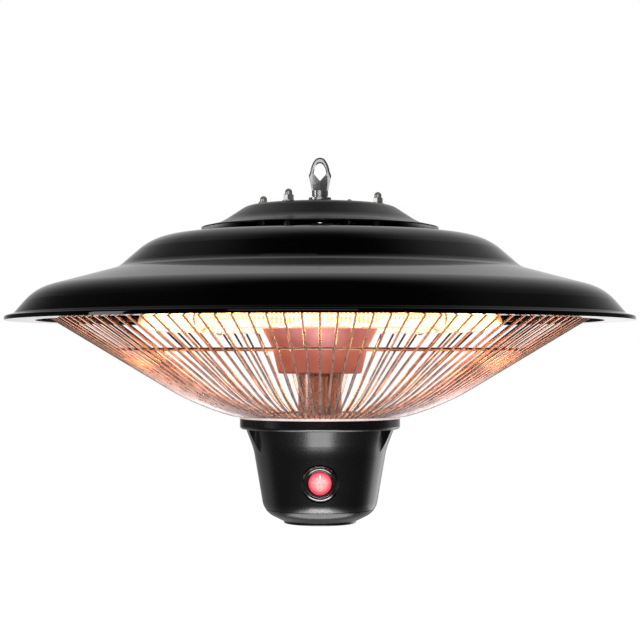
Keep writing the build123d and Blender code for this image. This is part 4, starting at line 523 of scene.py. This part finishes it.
for radius in (ring_outer, ring_inner):
    for step in range(ring_steps):
        turn = 2 * pi * step / ring_steps
        ring_points.append(
            valley + Vector((radius * sin(turn), 0, 0)) + lower_up * (ring_centre + radius * cos(turn))
            + lower_out * ink_height)
ring_faces = [(step, (step + 1) % ring_steps, ring_steps + (step + 1) % ring_steps, ring_steps + step)
              for step in range(ring_steps)]
ring_mesh = bpy.data.meshes.new("off_mark")
ring_mesh.from_pydata(ring_points, [], ring_faces)
white_ink = empty_material("white_pad_printing_ink")
place = node(white_ink, "ShaderNodeTexCoord", {}).outputs["Object"]
wear = node(white_ink, "ShaderNodeTexNoise", {"Vector": place, "Scale": per_mm(0.8), "Detail": 3.0})
ink_tone = node(white_ink, "ShaderNodeMix", {
    "Factor": wear.outputs["Fac"], 6: colour("f4b0b0"), 7: colour("fff6f4")}, data_type="RGBA")
# The ink glows faintly in its own tone: painted light of the lamp behind the rocker.
surface = node(white_ink, "ShaderNodeBsdfPrincipled", {
    "Base Color": ink_tone.outputs[2], "Emission Color": ink_tone.outputs[2], "Roughness": 0.4,
    "Emission Strength": 0.25})
node(white_ink, "ShaderNodeOutputMaterial", {"Surface": surface.outputs["BSDF"]})
for mesh in (bar_mesh, ring_mesh):
    mesh.materials.append(white_ink)
    mark = bpy.data.objects.new(mesh.name, mesh)
    bpy.context.scene.collection.objects.link(mark)
    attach(mark, "rocker")

# Neon lamp behind the rocker: a small glass bulb, lit orange round its electrodes.
neon = empty_material("glowing_neon_bulb")
place = node(neon, "ShaderNodeTexCoord", {}).outputs["Object"]
discharge = node(neon, "ShaderNodeTexNoise", {"Vector": place, "Scale": per_mm(1.5), "Detail": 2.0})
neon_tone = node(neon, "ShaderNodeMix", {
    "Factor": discharge.outputs["Fac"], 6: colour("ff5a20"), 7: colour("ffa060")}, data_type="RGBA")
surface = node(neon, "ShaderNodeBsdfPrincipled", {
    "Base Color": colour("ffd8c0"), "Emission Color": neon_tone.outputs[2], "Roughness": 0.1,
    "Transmission Weight": 0.6, "Emission Strength": 1.5})
node(neon, "ShaderNodeOutputMaterial", {"Surface": surface.outputs["BSDF"]})
dress(neon, "switch_lamp")

# Camera: level with the middle of the heater, about a metre in front of it, tilted up a little.
horizon_row = 357
frame_side = 640
lens = 90
sensor = 36
camera_distance = 1.095
camera_height = -0.12665
camera_data = bpy.data.cameras.new("camera")
camera_data.lens = lens
camera_data.sensor_width = sensor
camera = bpy.data.objects.new("camera", camera_data)
camera.location = (0.0, -camera_distance, camera_height)
pixels = lens / sensor * frame_side
camera_tilt = atan((horizon_row - frame_side / 2) / pixels)
camera.rotation_euler = (pi / 2 + camera_tilt, 0.0, 0.0)
bpy.context.scene.collection.objects.link(camera)
bpy.context.scene.camera = camera

# Studio floor: pale grey, well below the heater. The camera sees it as nearly white, and it keeps its shadow.
# In gloss and metal its front half is dark, as the front of the room is.
floor_height = -0.95
floor_half = 6.0
floor_mesh = bpy.data.meshes.new("floor")
floor_mesh.from_pydata(
    [(-floor_half, -floor_half, floor_height), (floor_half, -floor_half, floor_height),
     (floor_half, floor_half, floor_height), (-floor_half, floor_half, floor_height)],
    [], [(0, 1, 2, 3)])
floor = bpy.data.objects.new("floor", floor_mesh)
bpy.context.scene.collection.objects.link(floor)
pale_floor = empty_material("pale_studio_floor")
ray = node(pale_floor, "ShaderNodeLightPath", {})
seen = node(pale_floor, "ShaderNodeMath", {
    0: ray.outputs["Is Camera Ray"], 1: ray.outputs["Is Transmission Ray"]}, operation="MAXIMUM")
floor_lift = node(pale_floor, "ShaderNodeMapRange", {"Value": seen.outputs["Value"], "To Min": 0.0, "To Max": 0.64})
place = node(pale_floor, "ShaderNodeTexCoord", {}).outputs["Object"]
floor_axes = node(pale_floor, "ShaderNodeSeparateXYZ", {"Vector": place})
frontwards = node(pale_floor, "ShaderNodeMapRange", {
    "Value": floor_axes.outputs["Y"], "From Min": 1.2, "From Max": 0.0, "To Min": 0.0, "To Max": 1.0},
    interpolation_type="SMOOTHSTEP")
unlit = node(pale_floor, "ShaderNodeMath", {
    0: frontwards.outputs["Result"], 1: ray.outputs["Is Glossy Ray"]}, operation="MULTIPLY")
floor_tone = node(pale_floor, "ShaderNodeMix", {
    "Factor": unlit.outputs["Value"], 6: colour("bcbcbc"), 7: colour("282828")}, data_type="RGBA")
surface = node(pale_floor, "ShaderNodeBsdfPrincipled", {
    "Base Color": floor_tone.outputs[2], "Roughness": 0.9, "Emission Color": colour("ffffff"),
    "Emission Strength": floor_lift.outputs["Result"]})
node(pale_floor, "ShaderNodeOutputMaterial", {"Surface": surface.outputs["BSDF"]})
pale_floor.cycles.emission_sampling = "NONE"
floor.data.materials.append(pale_floor)

# Studio surround: white where it is seen directly, even soft light on matt surfaces, and for gloss and metal a
# white backdrop behind the heater that falls off to the sides, overhead and towards the dark front of the room.
backdrop_middle = 0.05
front_glimmer = 0.008
soft_strength = 0.8
world = bpy.data.worlds.new("studio")
bpy.context.scene.world = world
world.use_nodes = True
world.node_tree.nodes.clear()
world.cycles.sampling_method = "NONE"
direction = node(world, "ShaderNodeTexCoord", {}).outputs["Generated"]
axes = node(world, "ShaderNodeSeparateXYZ", {"Vector": direction})
upwards = node(world, "ShaderNodeMapRange", {
    "Value": axes.outputs["Z"], "From Min": 0.0, "From Max": 0.75, "To Min": 0.70, "To Max": 0.38})
overhead = node(world, "ShaderNodeMapRange", {
    "Value": axes.outputs["Z"], "From Min": 0.70, "From Max": 0.96, "To Min": 1.0, "To Max": 0.0},
    interpolation_type="SMOOTHSTEP")
aside = node(world, "ShaderNodeMath", {0: axes.outputs["X"], 1: backdrop_middle}, operation="SUBTRACT")
aside = node(world, "ShaderNodeMath", {0: aside.outputs["Value"]}, operation="ABSOLUTE")
sidewards = node(world, "ShaderNodeMapRange", {
    "Value": aside.outputs["Value"], "From Min": 0.1, "From Max": 0.66, "To Min": 1.0, "To Max": 0.05},
    interpolation_type="SMOOTHSTEP")
behind = node(world, "ShaderNodeMapRange", {
    "Value": axes.outputs["Y"], "From Min": -0.2, "From Max": 0.25, "To Min": 0.02, "To Max": 1.0},
    interpolation_type="SMOOTHSTEP")
horizon = node(world, "ShaderNodeMapRange", {
    "Value": axes.outputs["Z"], "From Min": 0.0, "From Max": 0.12, "To Min": 1.45, "To Max": 1.0})
backdrop = node(world, "ShaderNodeMath", {
    0: upwards.outputs["Result"], 1: overhead.outputs["Result"]}, operation="MULTIPLY")
backdrop = node(world, "ShaderNodeMath", {
    0: backdrop.outputs["Value"], 1: horizon.outputs["Result"]}, operation="MULTIPLY")
backdrop = node(world, "ShaderNodeMath", {
    0: backdrop.outputs["Value"], 1: sidewards.outputs["Result"]}, operation="MULTIPLY")
backdrop = node(world, "ShaderNodeMath", {
    0: backdrop.outputs["Value"], 1: behind.outputs["Result"], 2: front_glimmer}, operation="MULTIPLY_ADD")
ray = node(world, "ShaderNodeLightPath", {})
soft_light = node(world, "ShaderNodeMix", {
    0: ray.outputs["Is Glossy Ray"], 2: soft_strength, 3: backdrop.outputs["Value"]}, data_type="FLOAT")
seen = node(world, "ShaderNodeMath", {
    0: ray.outputs["Is Camera Ray"], 1: ray.outputs["Is Transmission Ray"]}, operation="MAXIMUM")
strength = node(world, "ShaderNodeMath", {
    0: soft_light.outputs[0], 1: seen.outputs["Value"]}, operation="MAXIMUM")
background = node(world, "ShaderNodeBackground", {
    "Color": colour("ffffff"), "Strength": strength.outputs["Value"]})
node(world, "ShaderNodeOutputWorld", {"Surface": background.outputs["Background"]})


# Soft lamps: a wide one under the heater with two brighter strips in front of its middle, a small one on the left a
# little above the eye, a wide weak one above and past the camera, and one low behind on the right.
def softbox(name, place, target, width, height, power):
    """Area lamp that faces a point."""
    lamp = bpy.data.lights.new(name, "AREA")
    lamp.shape = "RECTANGLE"
    lamp.size = width
    lamp.size_y = height
    lamp.energy = power
    rig = bpy.data.objects.new(name, lamp)
    rig.location = place
    rig.rotation_euler = (Vector(place) - Vector(target)).to_track_quat("Z", "Y").to_euler()
    bpy.context.scene.collection.objects.link(rig)


softbox("low_softbox", (0.0, -0.1, -0.94), (0.0, -0.1, 0.0), 0.9, 0.8, 9.0)
softbox("front_softbox", (0.0, -0.73, -0.94), (0.0, -0.73, 0.0), 0.6, 0.26, 4.6)
softbox("steep_softbox", (0.0, -0.42, -0.94), (0.0, -0.42, 0.0), 0.6, 0.30, 12.0)
softbox("left_softbox", (-1.3, -0.4, 0.1), (0.0, 0.0, 0.0), 0.35, 0.5, 1.6)
softbox("camera_softbox", (-0.3, -1.9, 0.47), (0.0, 0.0, 0.0), 1.5, 0.75, 5.0)
softbox("right_softbox", (1.13, 1.13, -0.62), (0.0, 0.0, -0.2), 1.2, 0.7, 4.0)

# Glow of the element: a ring of small warm lamps just under the quartz tube, where its light comes out.
glow_lamps = 16
glow_drop = 0.012
glow_power = 0.08
glow_softness = 0.006
for number in range(glow_lamps):
    bearing = 2 * pi * (number + 0.5) / glow_lamps
    glow = bpy.data.lights.new(f"glow_{number}", "POINT")
    glow.energy = glow_power
    glow.color = colour("ffa468")[:3]
    glow.shadow_soft_size = glow_softness
    glow_place = bpy.data.objects.new(f"glow_{number}", glow)
    glow_place.location = (ring_radius * cos(bearing), ring_radius * sin(bearing), coil_low.z - glow_drop)
    bpy.context.scene.collection.objects.link(glow_place)

bpy.context.scene.view_settings.view_transform = "Standard"
